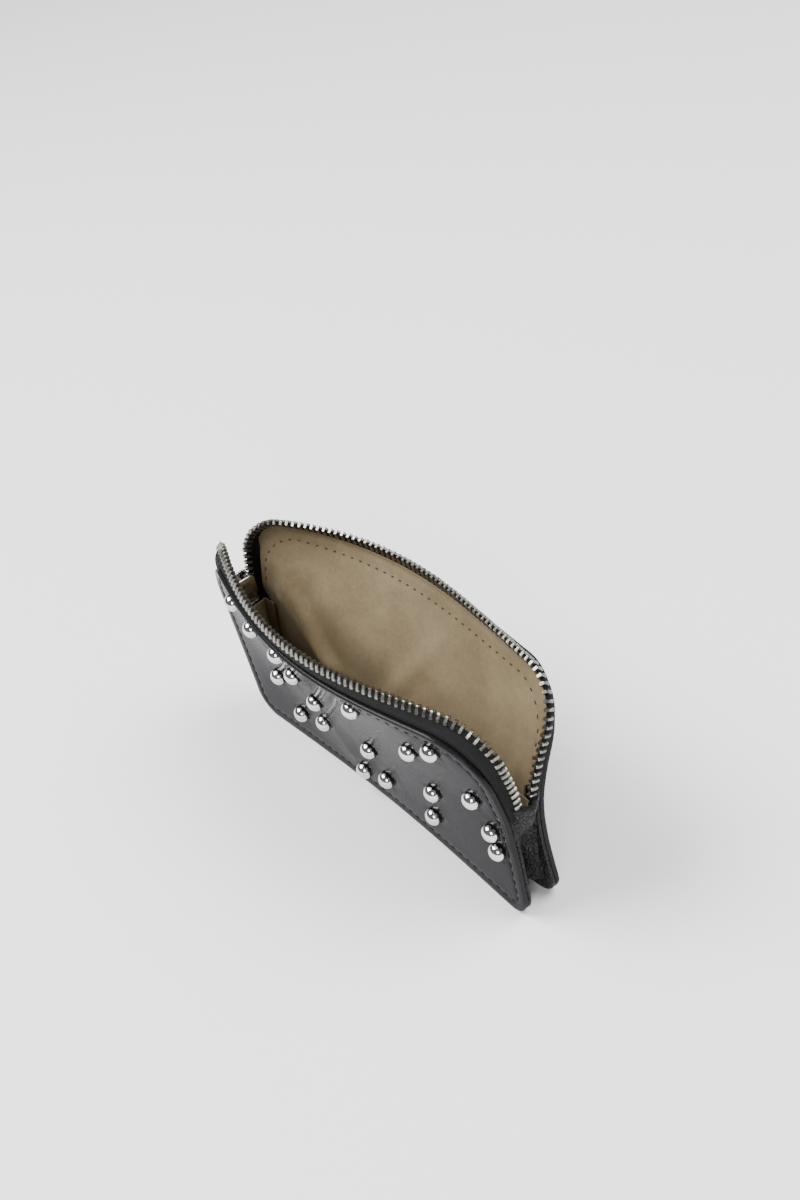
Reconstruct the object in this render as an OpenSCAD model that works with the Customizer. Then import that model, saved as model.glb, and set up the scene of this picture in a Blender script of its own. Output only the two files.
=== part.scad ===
// Small studded leather zip pouch that stands open.
// X runs along the mouth, the studded front faces -Y, Z is up, and the base stands on Z = 0.

/* [Panels] */
// Width of each leather panel
panel_w = 120; // [112:1:128]
// Height of each leather panel, measured along the leather
panel_h = 61; // [58:0.5:66]
// Radius of the leather at the two upper corners
leather_corner_r = 13; // [10:0.5:14]
// Radius of the two lower corners
base_corner_r = 7; // [6:0.5:9]
// Thickness of the outer leather
leather_t = 1.3; // [1:0.1:1.6]
// Thickness of the lining
lining_t = 0.5; // [0.4:0.05:0.7]

/* [Open shape] */
// Thickness of the pouch at its base
base_t = 12; // [11:0.5:14]
// Space across the pouch at the top of the right gusset, where the zip ends
end_gap = 8.9; // [8.5:0.1:10]
// Space across the pouch at the top of the left gusset, which the slider spreads
slider_gap = 12.5; // [12:0.1:13]
// How far the front bellies out at its middle, at the top
front_belly = 14.5; // [10:0.5:18]
// How far the back bellies out at its middle, at the top
back_belly = 21.5; // [16:0.5:25]
// How much the middle of the base edge draws in
base_draw = 2; // [0:0.25:3]

/* [Gusset] */
// Height of the gusset, up to the ends of the zip
gusset_h = 33.5; // [30:0.5:36]
// Thickness of the gusset leather
gusset_t = 0.9; // [0.7:0.1:1.1]
// Width of the flange that is sewn to each panel
flange_w = 3.5; // [3:0.1:3.8]
// Depth of the fold down the middle of the gusset
gusset_fold = 3; // [1:0.5:4]

/* [Zip] */
// Radius that the zip turns at the two upper corners
zip_corner_r = 9.5; // [8:0.5:10]
// How far the front tape leans in over the mouth, in degrees
front_lean = 44; // [40:1:50]
// How far the back tape leans in over the mouth, in degrees
back_lean = 60; // [44:1:64]
// Distance from the leather edge to the middle of the teeth
tape_w = 5; // [4.5:0.1:5.5]
// Distance from one tooth to the next along a row
tooth_pitch = 2; // [2:0.1:2.4]
// Length of a tooth across the tape
tooth_l = 2.2; // [1.8:0.1:2.4]
// Height of a tooth through the tape
tooth_t = 2; // [1.6:0.1:2.2]
// Width of a tooth along the tape
tooth_w = 1.05; // [0.8:0.05:1.2]

/* [Slider] */
// Length of the slider
slider_l = 9; // [8:0.5:10]
// Width of the slider
slider_w = 8; // [7.8:0.1:9]
// Length of the pull tab below its hinge bar
tab_l = 17; // [12:1:22]

/* [Studs] */
// Diameter of a stud's dome
stud_d = 5; // [4:0.25:6]
// Height of a stud's dome
stud_h = 2.4; // [1.5:0.1:2.6]

/* [Hidden] */

black = [0.03, 0.03, 0.035];
khaki = [0.55, 0.48, 0.36];
nickel = [0.72, 0.71, 0.69];

half_w = panel_w / 2;
gap = 0.1;                          // air between two layers of the same wall
tape_t = 0.5;
tape_d = leather_t + gap + tape_t / 2;          // depth of the tape's middle below the outer face
lining_d = leather_t + tape_t + 2 * gap + 0.05; // depth of the lining's outer face
flange_d = leather_t + gap;                     // depth of the gusset flange's outer face
tape_under = 5;                     // width of tape hidden under the leather
cord_r = 0.7;                       // the thick woven edge that the teeth clamp on
row_gap = 1.3;                      // least distance from a row's middle to the mid-plane
nudge = 0.3;                        // step used to measure slopes of the wall
swell_l = 6;                        // height over which the side edges start to lean out

// Each wall: [side, slope at the base, belly, flare at the left edge, flare at the right edge,
// lean of the tape]. The belly is for the height that the bulges are given at.
belly_h = 61;
back_slope = 0.009;
front = [-1, 0, front_belly / pow(belly_h, 2), 0.03, 0.20, front_lean];
back = [1, back_slope, (back_belly - back_slope * belly_h) / pow(belly_h, 2), 0.20, 0.55, back_lean];

// Stud positions on the front wall: [distance along X, height along the leather]
stud_xy = [[-44, 52], [-34, 49], [-22, 47], [-40, 24], [-23, 36.5], [-18, 28.5], [-35, 12],
           [-20.5, 18], [17, 52.5], [3, 23], [-7.5, 7], [5, 12], [32, 44], [44.5, 52.5],
           [31, 26], [25.5, 12.5], [50, 37], [53, 27], [53.5, 20.5]];

// ---- shape of the walls ----

function unit(v) = v / norm(v);
function mix(a, b, t) = a + (b - a) * t;
function ramp(t) = let(c = min(max(t, 0), 1)) c * c * (3 - 2 * c);

// 0 along the middle of a wall, 1 at its side edges.
bulge_power = 1.09;                 // above 1 the bulge is a little narrower than a cosine
function edgeness(x) = 1 - pow(max(cos(90 * min(abs(x) / half_w, 1)), 0), bulge_power);
function swell(h) = swell_l * ln(1 + exp((h - gusset_h) / swell_l));
function middle_out(h, wall) = base_t / 2 - base_draw + wall[1] * h + wall[2] * h * h;
function rightness(x) = min(max((x / half_w + 1) / 2, 0), 1);
function side_out(x, h, wall) =
    mix(base_t / 2, mix(slider_gap, end_gap, rightness(x)) / 2, min(h / gusset_h, 1))
    + mix(wall[3], wall[4], rightness(x)) * swell(h);
function foot_out(x) = mix(base_t / 2 - base_draw, base_t / 2, edgeness(x));

// Outer face of a wall. The leather keeps its length, so a bulge draws the edges in and down.
function skin(x, h, wall) =
    let(m = middle_out(h, wall), s = side_out(x, h, wall), y = mix(m, s, edgeness(x)))
    [x * (1 - 8 / 3 * pow((m - s) / panel_w, 2)), wall[0] * y,
     h - 0.5 * pow(y - foot_out(x), 2) / max(h, 1)];
function slope_x(x, h, wall) = skin(x + nudge, h, wall) - skin(x - nudge, h, wall);
function slope_h(x, h, wall) = skin(x, h + nudge, wall) - skin(x, max(h - nudge, 0), wall);
function inward(x, h, wall) = unit(cross(slope_x(x, h, wall), slope_h(x, h, wall))) * wall[0];
// A point at depth d below the outer face.
function layer(x, h, wall, d) = skin(x, h, wall) + inward(x, h, wall) * d;
function flat_foot(p, h) = h < 0.01 ? [p[0], p[1], 0] : p;

// Extents used to bring the box of the whole object over the origin.
front_reach = -skin(0, panel_h, front)[1];
back_reach = skin(0, panel_h, back)[1];
tab_reach = 2.4;                    // how much further the slider stands out than the right end
origin_shift = [tab_reach / 2, (front_reach - back_reach) / 2, 0];

// Half width of a panel at height h.
function panel_half(h) =
    let(low = max(base_corner_r - h, 0), high = max(h - panel_h + leather_corner_r, 0))
    half_w - (base_corner_r - sqrt(pow(base_corner_r, 2) - low * low))
    - (leather_corner_r - sqrt(max(pow(leather_corner_r, 2) - high * high, 0)));

// The lining stops short of the flange beside the gusset, and comes close to the zip above it,
// or above the slider at the left.
lining_in = flange_w + 1.2;
zip_clear = 0.8;                    // from the lining's edge to the edge that the zip follows
lining_top = panel_h - zip_clear;
function lining_half(h, right) =
    let(start = gusset_h + (right ? 0.6 : slider_l + 3),
        w = half_w - mix(lining_in, zip_clear, ramp((h - start) / 3)),
        r = zip_corner_r - zip_clear, high = max(h - lining_top + r, 0))
    w - (r - sqrt(max(r * r - high * high, 0)));

// ---- helpers that build closed shells ----

// Triangles of a tube of rings, each ring a closed loop of n points, with flat ends.
function ring_faces(n, count) = [
    for (i = [0:count - 2], j = [0:n - 1])
        each [[i * n + j, i * n + (j + 1) % n, (i + 1) * n + j],
              [i * n + (j + 1) % n, (i + 1) * n + (j + 1) % n, (i + 1) * n + j]]
];
module tube(rings) {
    n = len(rings[0]);
    last = (len(rings) - 1) * n;
    polyhedron([for (r = rings) each r],
        concat(ring_faces(n, len(rings)),
            [[for (j = [n - 1:-1:0]) j], [for (j = [0:n - 1]) last + j]]));
}

// A wall between two grids of points with the same rows and columns.
module wall_sheet(outer, inner) {
    rows = len(outer);
    cols = len(outer[0]);
    n = rows * cols;
    points = concat([for (r = outer) each r], [for (r = inner) each r]);
    face = [for (i = [0:rows - 2], j = [0:cols - 2])
        each [[i * cols + j, i * cols + j + 1, (i + 1) * cols + j],
              [i * cols + j + 1, (i + 1) * cols + j + 1, (i + 1) * cols + j]]];
    rim = concat([for (j = [0:cols - 1]) j], [for (i = [1:rows - 1]) i * cols + cols - 1],
        [for (j = [cols - 2:-1:0]) (rows - 1) * cols + j], [for (i = [rows - 2:-1:1]) i * cols]);
    k = len(rim);
    polyhedron(points, concat(face, [for (f = face) [f[0] + n, f[2] + n, f[1] + n]],
        [for (a = [0:k - 1]) each [[rim[a], rim[a] + n, rim[(a + 1) % k]],
                                   [rim[(a + 1) % k], rim[a] + n, rim[(a + 1) % k] + n]]]));
}

// Rows of heights: fine round the corners, coarse between them.
panel_rows = concat([for (a = [0:18:90]) base_corner_r * (1 - cos(a))],
    [for (i = [1:8]) mix(base_corner_r, panel_h - leather_corner_r, i / 9)],
    [for (a = [0:15:90]) panel_h - leather_corner_r * (1 - sin(a))]);
lining_rows = concat([for (i = [0:6]) mix(lining_in, gusset_h, i / 6)],
    [for (i = [1:3]) gusset_h + i * 1.4],
    [for (i = [1:3]) mix(gusset_h + 4.2, lining_top - zip_corner_r + zip_clear, i / 3)],
    [for (a = [15:15:90]) lining_top - (zip_corner_r - zip_clear) * (1 - sin(a))]);
cols = 26;

// The columns run left to right on the back and right to left on the front.
function across(i, wall) = wall[0] * (2 * i / cols - 1);
function panel_grid(wall, d) = [for (h = panel_rows) [for (i = [0:cols])
    flat_foot(layer(across(i, wall) * panel_half(h), h, wall, d), h)]];
function lining_grid(wall, d) = [for (h = lining_rows) [for (i = [0:cols])
    let(u = across(i, wall)) layer(u * lining_half(h, u > 0), h, wall, d)]];

module leather_panel(wall) wall_sheet(panel_grid(wall, 0), panel_grid(wall, leather_t));
module lining_panel(wall)
    wall_sheet(lining_grid(wall, lining_d), lining_grid(wall, lining_d + lining_t));

// ---- gusset ----

// A station on the U that runs down one side, along the base and up the other:
// [x, h, outward x, outward h].
gusset_top = gusset_h - 0.4;
side_l = gusset_top - base_corner_r;
bend_l = PI * base_corner_r / 2;
base_l = panel_w - 2 * base_corner_r;
u_len = 2 * side_l + 2 * bend_l + base_l;
function u_half(s) =
    s < side_l ? [half_w, gusset_top - s, 1, 0]
    : s < side_l + bend_l ? let(a = (s - side_l) / base_corner_r * 180 / PI)
        [half_w - base_corner_r * (1 - cos(a)), base_corner_r * (1 - sin(a)), cos(a), -sin(a)]
    : [half_w - base_corner_r - (s - side_l - bend_l), 0, 0, -1];
function u_at(s) = s <= u_len / 2 ? u_half(s)
    : let(p = u_half(u_len - s)) [-p[0], p[1], -p[2], p[3]];
gusset_s = concat([for (i = [0:6]) side_l * i / 6], [for (i = [1:4]) side_l + bend_l * i / 4],
    [for (i = [1:14]) side_l + bend_l + base_l * i / 14],
    [for (i = [1:4]) side_l + bend_l + base_l + bend_l * i / 4],
    [for (i = [1:6]) u_len - side_l * (1 - i / 6)]);

// Distance from the top of the gusset: its web comes out to the zip there, and lies in below it.
function settle(s) = ramp(min(s, u_len - s) / 9);
function at_inset(s, in, wall, d) =
    let(p = u_at(s))
    layer(p[0] - p[2] * in, max(p[1] - p[3] * in, 0), wall, d);
function at_middle(s, in, d) =
    let(f = at_inset(s, in, front, d), b = at_inset(s, in, back, d))
    [(f[0] + b[0]) / 2, (f[1] + b[1]) / 2, (f[2] + b[2]) / 2];
function web_in(s) = mix(1.2, flange_w, settle(s));
function fold_in(s) = web_in(s) + mix(0.4, gusset_fold, settle(s));
function side_points(s, wall) = [
    at_inset(s, 0.3, wall, flange_d + gusset_t),
    at_inset(s, 0.3, wall, flange_d),
    at_inset(s, web_in(s) + gusset_t, wall, flange_d)
];
function gusset_ring(s) =
    let(f = side_points(s, front), b = side_points(s, back), w = web_in(s), d = flange_d + gusset_t)
    [f[0], f[1], f[2], at_middle(s, fold_in(s) + gusset_t, d), b[2], b[1], b[0],
     at_inset(s, w, back, d), at_middle(s, fold_in(s), d), at_inset(s, w, front, d)];

// The gusset lining follows the inside of the web.
lining_gap = gusset_t + 0.2;
function gusset_lining_ring(s) =
    let(w = web_in(s) + lining_gap, m = fold_in(s) + lining_gap, d = lining_d + lining_t + 0.3)
    [at_inset(s, w + lining_t, front, d), at_middle(s, m + lining_t, d),
     at_inset(s, w + lining_t, back, d), at_inset(s, w, back, d),
     at_middle(s, m, d), at_inset(s, w, front, d)];

// ---- zip ----

// A station on the edge above the gusset: up the right side, over the top, down the left side.
rise_l = panel_h - zip_corner_r - gusset_h;
turn_l = PI * zip_corner_r / 2;
top_l = panel_w - 2 * zip_corner_r;
edge_len = 2 * rise_l + 2 * turn_l + top_l;
function edge_half(s) =
    s < rise_l ? [half_w, gusset_h + s, 1, 0]
    : s < rise_l + turn_l ? let(a = (s - rise_l) / zip_corner_r * 180 / PI)
        [half_w - zip_corner_r * (1 - cos(a)), panel_h - zip_corner_r * (1 - sin(a)), cos(a), sin(a)]
    : [half_w - zip_corner_r - (s - rise_l - turn_l), panel_h, 0, 1];
function edge_at(s) = s <= edge_len / 2 ? edge_half(s)
    : let(p = edge_half(edge_len - s)) [-p[0], p[1], -p[2], p[3]];

// The tape leans in over the mouth along the top, and lies square across the pouch at its ends.
end_lean = 81;
function tape_lean(s, wall) =
    let(e = min(s, edge_len - s)) mix(wall[5], end_lean, exp(-pow(e / (rise_l + 0.7 * turn_l), 2)));
function keep_apart(y) = row_gap + 0.5 * ln(1 + exp((y - row_gap) / 0.5));
function row_clear(p, wall) = [p[0], wall[0] * keep_apart(wall[0] * p[1]), p[2]];
function edge_out(s, wall) =
    let(p = edge_at(s), e = 0.5 * [p[2], p[3]])
    unit(skin(p[0] + e[0], p[1] + e[1], wall) - skin(p[0] - e[0], p[1] - e[1], wall));
// Middle of the tape at distance v beyond the leather edge, or under the leather if v < 0.
function tape_at(s, wall, v) =
    let(p = edge_at(s), out = edge_out(s, wall), in = inward(p[0], p[1], wall),
        top = skin(p[0], p[1], wall), a = tape_lean(s, wall),
        row = row_clear(top + tape_w * (cos(a) * out + sin(a) * in), wall),
        root = top + in * tape_d)
    v < 0 ? layer(p[0] + v * p[2], p[1] + v * p[3], wall, tape_d) : mix(root, row, v / tape_w);

row_n = 140;
row_s = [for (i = [0:row_n]) edge_len * i / row_n];
function row_pts(wall) = [for (s = row_s) tape_at(s, wall, tape_w)];
function running(p) = [for (i = 0, a = 0; i < len(p);
    a = a + (i + 1 < len(p) ? norm(p[i + 1] - p[i]) : 0), i = i + 1) a];
function row_table(wall) =
    let(a = running(row_pts(wall))) [for (i = [0:row_n]) [a[i], row_s[i]]];
front_table = row_table(front);
back_table = row_table(back);
function table_of(wall) = wall[0] < 0 ? front_table : back_table;
function row_len(wall) = table_of(wall)[row_n][0];
function s_at(l, wall) = lookup(l, table_of(wall));

// Axes at a station: along the row, across the tape towards the teeth, and through the tape.
function row_along(s, wall) = unit(tape_at(min(s + 0.6, edge_len), wall, tape_w)
    - tape_at(max(s - 0.6, 0), wall, tape_w));
function row_axes(s, wall) =
    let(t = row_along(s, wall), w0 = tape_at(s, wall, tape_w) - tape_at(s, wall, tape_w / 2),
        w = unit(w0 - t * (w0 * t)), n = cross(t, w))
    [t, w, n];
function frame_matrix(o, x, y, z) = [[x[0], y[0], z[0], o[0]], [x[1], y[1], z[1], o[1]],
                                     [x[2], y[2], z[2], o[2]], [0, 0, 0, 1]];
module on_row(l, wall) {
    s = s_at(l, wall);
    a = row_axes(s, wall);
    multmatrix(frame_matrix(tape_at(s, wall, tape_w), a[0], a[1], a[2])) children();
}

tape_steps = 46;
tape_s = [for (i = [0:tape_steps]) edge_len * i / tape_steps];
function tape_pair(s, wall, v) =
    let(p = edge_at(s), n = v < 0 ? inward(p[0] + v * p[2], p[1] + v * p[3], wall)
            : row_axes(s, wall)[2] * wall[0],
        m = v < 0 ? n : unit(n * sign(n * inward(p[0], p[1], wall))))
    [tape_at(s, wall, v) - m * tape_t / 2, tape_at(s, wall, v) + m * tape_t / 2];
function tape_ring(s, wall) =
    let(q = [for (v = [-tape_under, -1, 1.6, tape_w - cord_r]) tape_pair(s, wall, v)])
    [q[0][0], q[1][0], q[2][0], q[3][0], q[3][1], q[2][1], q[1][1], q[0][1]];
function flip_for(wall, ring) = wall[0] < 0 ? ring : [for (i = [len(ring) - 1:-1:0]) ring[i]];
module zip_tape(wall) tube([for (s = tape_s) flip_for(wall, tape_ring(s, wall))]);

cord_sides = 6;
function cord_ring(s, wall) =
    let(a = row_axes(s, wall), o = tape_at(s, wall, tape_w - 0.3))
    [for (k = [0:cord_sides - 1]) let(g = 360 * k / cord_sides)
        o + cord_r * (cos(g) * a[1] + sin(g) * a[2])];
module tape_cord(wall) tube([for (s = row_s) cord_ring(s, wall)]);

// A tooth: clamped jaws on the cord, narrowing to a rounded head.
head_r = 0.42;
module tooth() {
    translate([0, 0, -tooth_t / 2])
        linear_extrude(tooth_t) {
            translate([-tooth_w / 2, -tooth_l / 2]) square([tooth_w, tooth_l - head_r]);
            translate([0, tooth_l / 2 - head_r]) circle(r = head_r, $fn = 24);
        }
}
stop_l = 2;
module teeth(wall) {
    n = floor((row_len(wall) - 2 * stop_l) / tooth_pitch);
    start = (row_len(wall) - (n - 1) * tooth_pitch) / 2 + 0.4;
    for (k = [0:n - 1]) on_row(start + k * tooth_pitch, wall) tooth();
}
module top_stop(wall)
    on_row(stop_l / 2 - 0.1, wall) translate([-0.8, -1.2, -1.1]) cube([1.6, 2.1, 2.2]);

// ---- slider ----

// The slider sits over the last teeth at the left end. Its own axes: X towards the inside,
// Y towards the back, Z up along the rows.
slider_s = edge_len - slider_l / 2 - 2.6;
function rows_middle(s) = (tape_at(s, front, tape_w) + tape_at(s, back, tape_w)) / 2;
slider_o = [rows_middle(slider_s)[0], 0, rows_middle(slider_s)[2]];
slider_top = rows_middle(slider_s - 5);
slider_foot = rows_middle(slider_s + 5);
slider_up = unit([slider_top[0] - slider_foot[0], 0, slider_top[2] - slider_foot[2]]);
slider_in = cross([0, 1, 0], slider_up);
module on_slider() multmatrix(frame_matrix(slider_o, slider_in, [0, 1, 0], slider_up)) children();

plate_in = 1.65;                    // distance from the rows' middle to each plate
plate_t = 0.7;
plate_out = plate_in + plate_t;
rail_t = 0.6;                       // width and height of the rails that close the channel's sides
rail_h = 0.3;
bridge_w = 1.8;
bridge_rise = 1.7;
bar_r = 0.55;
bar_x = plate_out + bridge_rise / 2;
bridge_half = 1.8;

// A slider plate seen square on: wide at the top, rounded at the bottom. It is drawn in Y and Z.
module plate_outline() {
    r = 1.5;
    hull() {
        for (y = [-1, 1]) {
            translate([y * (slider_w / 2 - r), slider_l / 2 - r]) circle(r = r, $fn = 24);
            translate([y * (slider_w / 2 - r - 0.6), -slider_l / 2 + r]) circle(r = r, $fn = 24);
        }
    }
}
module slab(x, t) translate([x, 0, 0]) rotate([90, 0, 90]) linear_extrude(t) children();

module slider_shape() {
    slab(plate_in, plate_t) plate_outline();
    slab(-plate_out, plate_t) plate_outline();
    slab(-plate_in - 0.05, 2 * plate_in + 0.1)
        polygon([[-0.35, slider_l / 2 - 0.4], [0.35, slider_l / 2 - 0.4], [0.35, 2.4], [0, 1.4],
                 [-0.35, 2.4]]);
    for (y = [-1, 1], x = [-1, 1])
        translate([x * (plate_in - 0.05) - rail_h / 2, y * (slider_w / 2 - rail_t / 2) - rail_t / 2,
                   -slider_l / 2 + 2.5])
            cube([rail_h, rail_t, slider_l - 4]);
}

// ---- stud ----

post_r = 0.9;
back_r = 1.7;
back_t = 0.35;
module on_stud(p, d) {
    n = inward(p[0], p[1], front);
    u = unit(slope_x(p[0], p[1], front));
    v = cross(n, u);
    multmatrix(frame_matrix(layer(p[0], p[1], front, d), u, v, n)) children();
}
module dome() {
    cap_r = (pow(stud_d / 2, 2) + pow(stud_h, 2)) / (2 * stud_h);
    difference() {
        intersection() {
            translate([0, 0, cap_r - stud_h]) sphere(r = cap_r, $fn = 48);
            translate([0, 0, -stud_h - 1]) cylinder(r = stud_d, h = stud_h + 1, $fn = 48);
        }
        translate([0, 0, -1.2]) cylinder(r = post_r, h = 2, $fn = 32);
    }
}

// ---- pieces ----

module front_panel() color(black) translate(origin_shift) leather_panel(front);
module back_panel() color(black) translate(origin_shift) leather_panel(back);
module gusset() color(black) translate(origin_shift) tube([for (s = gusset_s) gusset_ring(s)]);
module front_lining() color(khaki) translate(origin_shift) lining_panel(front);
module back_lining() color(khaki) translate(origin_shift) lining_panel(back);
module gusset_lining()
    color(khaki) translate(origin_shift) tube([for (s = gusset_s) gusset_lining_ring(s)]);
module front_zip_tape() color(black) translate(origin_shift) zip_tape(front);
module back_zip_tape() color(black) translate(origin_shift) zip_tape(back);
module front_tape_cord() color(black) translate(origin_shift) tape_cord(front);
module back_tape_cord() color(black) translate(origin_shift) tape_cord(back);
module front_teeth() color(nickel) translate(origin_shift) teeth(front);
module back_teeth() color(nickel) translate(origin_shift) teeth(back);
module front_top_stop() color(nickel) translate(origin_shift) top_stop(front);
module back_top_stop() color(nickel) translate(origin_shift) top_stop(back);

// Two cheeks over the ends of both rows, joined between them.
module bottom_stop() {
    color(nickel) translate(origin_shift) on_slider() translate([0, 0, -slider_l / 2 - 2.3]) {
        for (x = [-1.7, 1.2]) translate([x, -2.7, 0]) cube([0.5, 5.4, 1.8]);
        translate([-1.3, -0.4, 0]) cube([2.6, 0.8, 1.8]);
    }
}

module slider_body() color(nickel) translate(origin_shift) on_slider() slider_shape();

// The arch that the pull tab hangs from.
module slider_bridge() {
    color(nickel) translate(origin_shift) on_slider()
        translate([-plate_out - bridge_rise - 0.7, -bridge_w / 2, 0]) {
            translate([0, 0, -bridge_half - 0.8]) cube([0.7, bridge_w, 2 * bridge_half + 1.6]);
            for (z = [-bridge_half - 0.8, bridge_half])
                translate([0.6, 0, z]) cube([bridge_rise + 0.1, bridge_w, 0.8]);
        }
}

// A thin leaf on the outer plate, above the arch's upper foot.
module lock_spring() {
    color(nickel) translate(origin_shift) on_slider()
        translate([-plate_out - 0.3, -0.5, bridge_half + 0.9]) cube([0.25, 1, 1.5]);
}

// The bar turns under the arch, and the flat tab hangs from it down the outside.
tab_w = 5.4;
tab_t = 0.9;
window_half = 1.3;
window_l = 3.4;
module pull_tab() {
    color(nickel) translate(origin_shift) on_slider() translate([-bar_x, 0, 0]) {
        rotate([90, 0, 0]) cylinder(r = bar_r, h = 2 * window_half + 1.6, center = true, $fn = 32);
        for (y = [-1, 1])
            translate([-tab_t / 2, y * (window_half + 0.5) - 0.5, -window_l - 0.6])
                cube([tab_t, 1, window_l + 0.6]);
        translate([-tab_t / 2, 0, 0]) rotate([90, 0, 90]) linear_extrude(tab_t) {
            translate([-window_half - 1, -window_l - 2]) square([2 * window_half + 2, 2]);
            translate([-tab_w / 2, -tab_l + tab_w / 2])
                square([tab_w, tab_l - window_l - tab_w / 2 - 1]);
            translate([0, -tab_l + tab_w / 2]) circle(d = tab_w, $fn = 40);
        }
    }
}

module stud_domes() color(nickel) translate(origin_shift) for (p = stud_xy) on_stud(p, -0.02) dome();
module stud_posts() color(nickel) translate(origin_shift) for (p = stud_xy)
    on_stud(p, -1) cylinder(r = post_r - 0.05, h = leather_t + 1.15, $fn = 32);
module stud_backs() color(nickel) translate(origin_shift) for (p = stud_xy)
    on_stud(p, leather_t + 0.05) cylinder(r = back_r, h = back_t, $fn = 32);

front_panel();
back_panel();
gusset();
front_lining();
back_lining();
gusset_lining();
front_zip_tape();
back_zip_tape();
front_tape_cord();
back_tape_cord();
front_teeth();
back_teeth();
front_top_stop();
back_top_stop();
bottom_stop();
slider_body();
slider_bridge();
lock_spring();
pull_tab();
stud_domes();
stud_posts();
stud_backs();
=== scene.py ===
import bpy
import math
import numpy as np
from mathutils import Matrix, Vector


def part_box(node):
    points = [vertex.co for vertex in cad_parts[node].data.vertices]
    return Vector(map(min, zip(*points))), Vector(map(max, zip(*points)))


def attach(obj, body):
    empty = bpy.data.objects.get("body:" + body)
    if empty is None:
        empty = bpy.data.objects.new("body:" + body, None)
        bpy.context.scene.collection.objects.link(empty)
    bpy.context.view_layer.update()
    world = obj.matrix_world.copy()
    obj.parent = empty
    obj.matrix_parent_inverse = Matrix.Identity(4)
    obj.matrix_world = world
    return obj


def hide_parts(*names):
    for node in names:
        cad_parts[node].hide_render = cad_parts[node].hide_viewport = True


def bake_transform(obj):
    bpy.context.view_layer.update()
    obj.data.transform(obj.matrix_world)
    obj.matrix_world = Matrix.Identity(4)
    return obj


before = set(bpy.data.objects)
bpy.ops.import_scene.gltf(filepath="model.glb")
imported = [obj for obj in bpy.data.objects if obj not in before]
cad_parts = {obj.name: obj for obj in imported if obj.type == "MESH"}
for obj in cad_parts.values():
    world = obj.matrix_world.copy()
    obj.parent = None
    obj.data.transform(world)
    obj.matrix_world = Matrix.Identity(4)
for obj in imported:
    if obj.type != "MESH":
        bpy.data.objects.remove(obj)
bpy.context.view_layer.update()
scene = bpy.context.scene
mm = 0.001

# camera: place in millimetres from the middle of the pouch's base, turn in degrees
view = {"place": (276.3, -130.8, 297.2), "turn": (51.46, 12.42, 52.33), "lens": 46.64,
        "sensor": 36.0, "clip": (0.01, 20.0)}
panelLow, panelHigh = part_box("front_panel")
stopLow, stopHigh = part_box("bottom_stop")
midX = (panelLow.x + panelHigh.x) / 2 / mm   # the pouch's own middle, in the row frame
midY = (stopLow.y + stopHigh.y) / 2 / mm


def toFrame(points):
    # from the pouch's own millimetres to metres in the row frame
    return (np.asarray(points, float) + np.array([midX, midY, 0.0])) * mm


camera = bpy.data.objects.new("camera", bpy.data.cameras.new("camera"))
scene.collection.objects.link(camera)
camera.location = toFrame(view["place"])
camera.rotation_euler = [math.radians(angle) for angle in view["turn"]]
camera.data.lens = view["lens"]
camera.data.sensor_width = view["sensor"]
camera.data.clip_start, camera.data.clip_end = view["clip"]
scene.camera = camera
bpy.context.view_layer.update()


def newMaterial(name):
    material = bpy.data.materials.new(name)
    material.use_nodes = True
    material.node_tree.nodes.clear()
    tree = material.node_tree
    out = tree.nodes.new("ShaderNodeOutputMaterial")
    shader = tree.nodes.new("ShaderNodeBsdfPrincipled")
    tree.links.new(shader.outputs[0], out.inputs[0])
    return material, tree, shader


def node(tree, kind, **values):
    # a shader node with its settings and unlinked inputs filled in
    made = tree.nodes.new(kind)
    for key, value in values.items():
        if hasattr(made, key):
            setattr(made, key, value)
        else:
            made.inputs[key.replace("_", " ")].default_value = value
    return made


def ramp(tree, source, stops):
    made = tree.nodes.new("ShaderNodeValToRGB")
    tree.links.new(source, made.inputs[0])
    elements = made.color_ramp.elements
    while len(elements) < len(stops):
        elements.new(0.5)
    for element, (place, colour) in zip(elements, stops):
        element.position = place
        element.color = (*colour, 1.0) if len(colour) == 3 else colour
    return made.outputs[0]


def grey(value):
    return (value, value, value)


def mapped(tree, scale=(1, 1, 1), turned=(0, 0, 0)):
    coord = tree.nodes.new("ShaderNodeTexCoord")
    place = tree.nodes.new("ShaderNodeMapping")
    place.inputs["Scale"].default_value = scale
    place.inputs["Rotation"].default_value = turned
    tree.links.new(coord.outputs["Object"], place.inputs[0])
    return place.outputs[0]


def noise(tree, vector, scale, detail=4.0, rough=0.5, distortion=0.0):
    made = node(tree, "ShaderNodeTexNoise", Scale=scale, Detail=detail, Roughness=rough,
                Distortion=distortion)
    tree.links.new(vector, made.inputs["Vector"])
    return made.outputs[0]


def cellEdges(tree, vector, scale):
    made = node(tree, "ShaderNodeTexVoronoi", feature="DISTANCE_TO_EDGE", Scale=scale)
    tree.links.new(vector, made.inputs["Vector"])
    return made.outputs["Distance"]


def maths(tree, operation, a, b=None):
    made = tree.nodes.new("ShaderNodeMath")
    made.operation = operation
    for k, value in enumerate((a, b)):
        if value is None:
            continue
        if isinstance(value, (int, float)):
            made.inputs[k].default_value = value
        else:
            tree.links.new(value, made.inputs[k])
    return made.outputs[0]


def mixColour(tree, factor, a, b, blendType="MIX"):
    made = tree.nodes.new("ShaderNodeMix")
    made.data_type = "RGBA"
    made.blend_type = blendType
    for socket, value in ((made.inputs[0], factor), (made.inputs[6], a), (made.inputs[7], b)):
        if isinstance(value, (int, float)):
            socket.default_value = value
        elif isinstance(value, tuple):
            socket.default_value = (*value, 1.0)
        else:
            tree.links.new(value, socket)
    return made.outputs[2]


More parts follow.
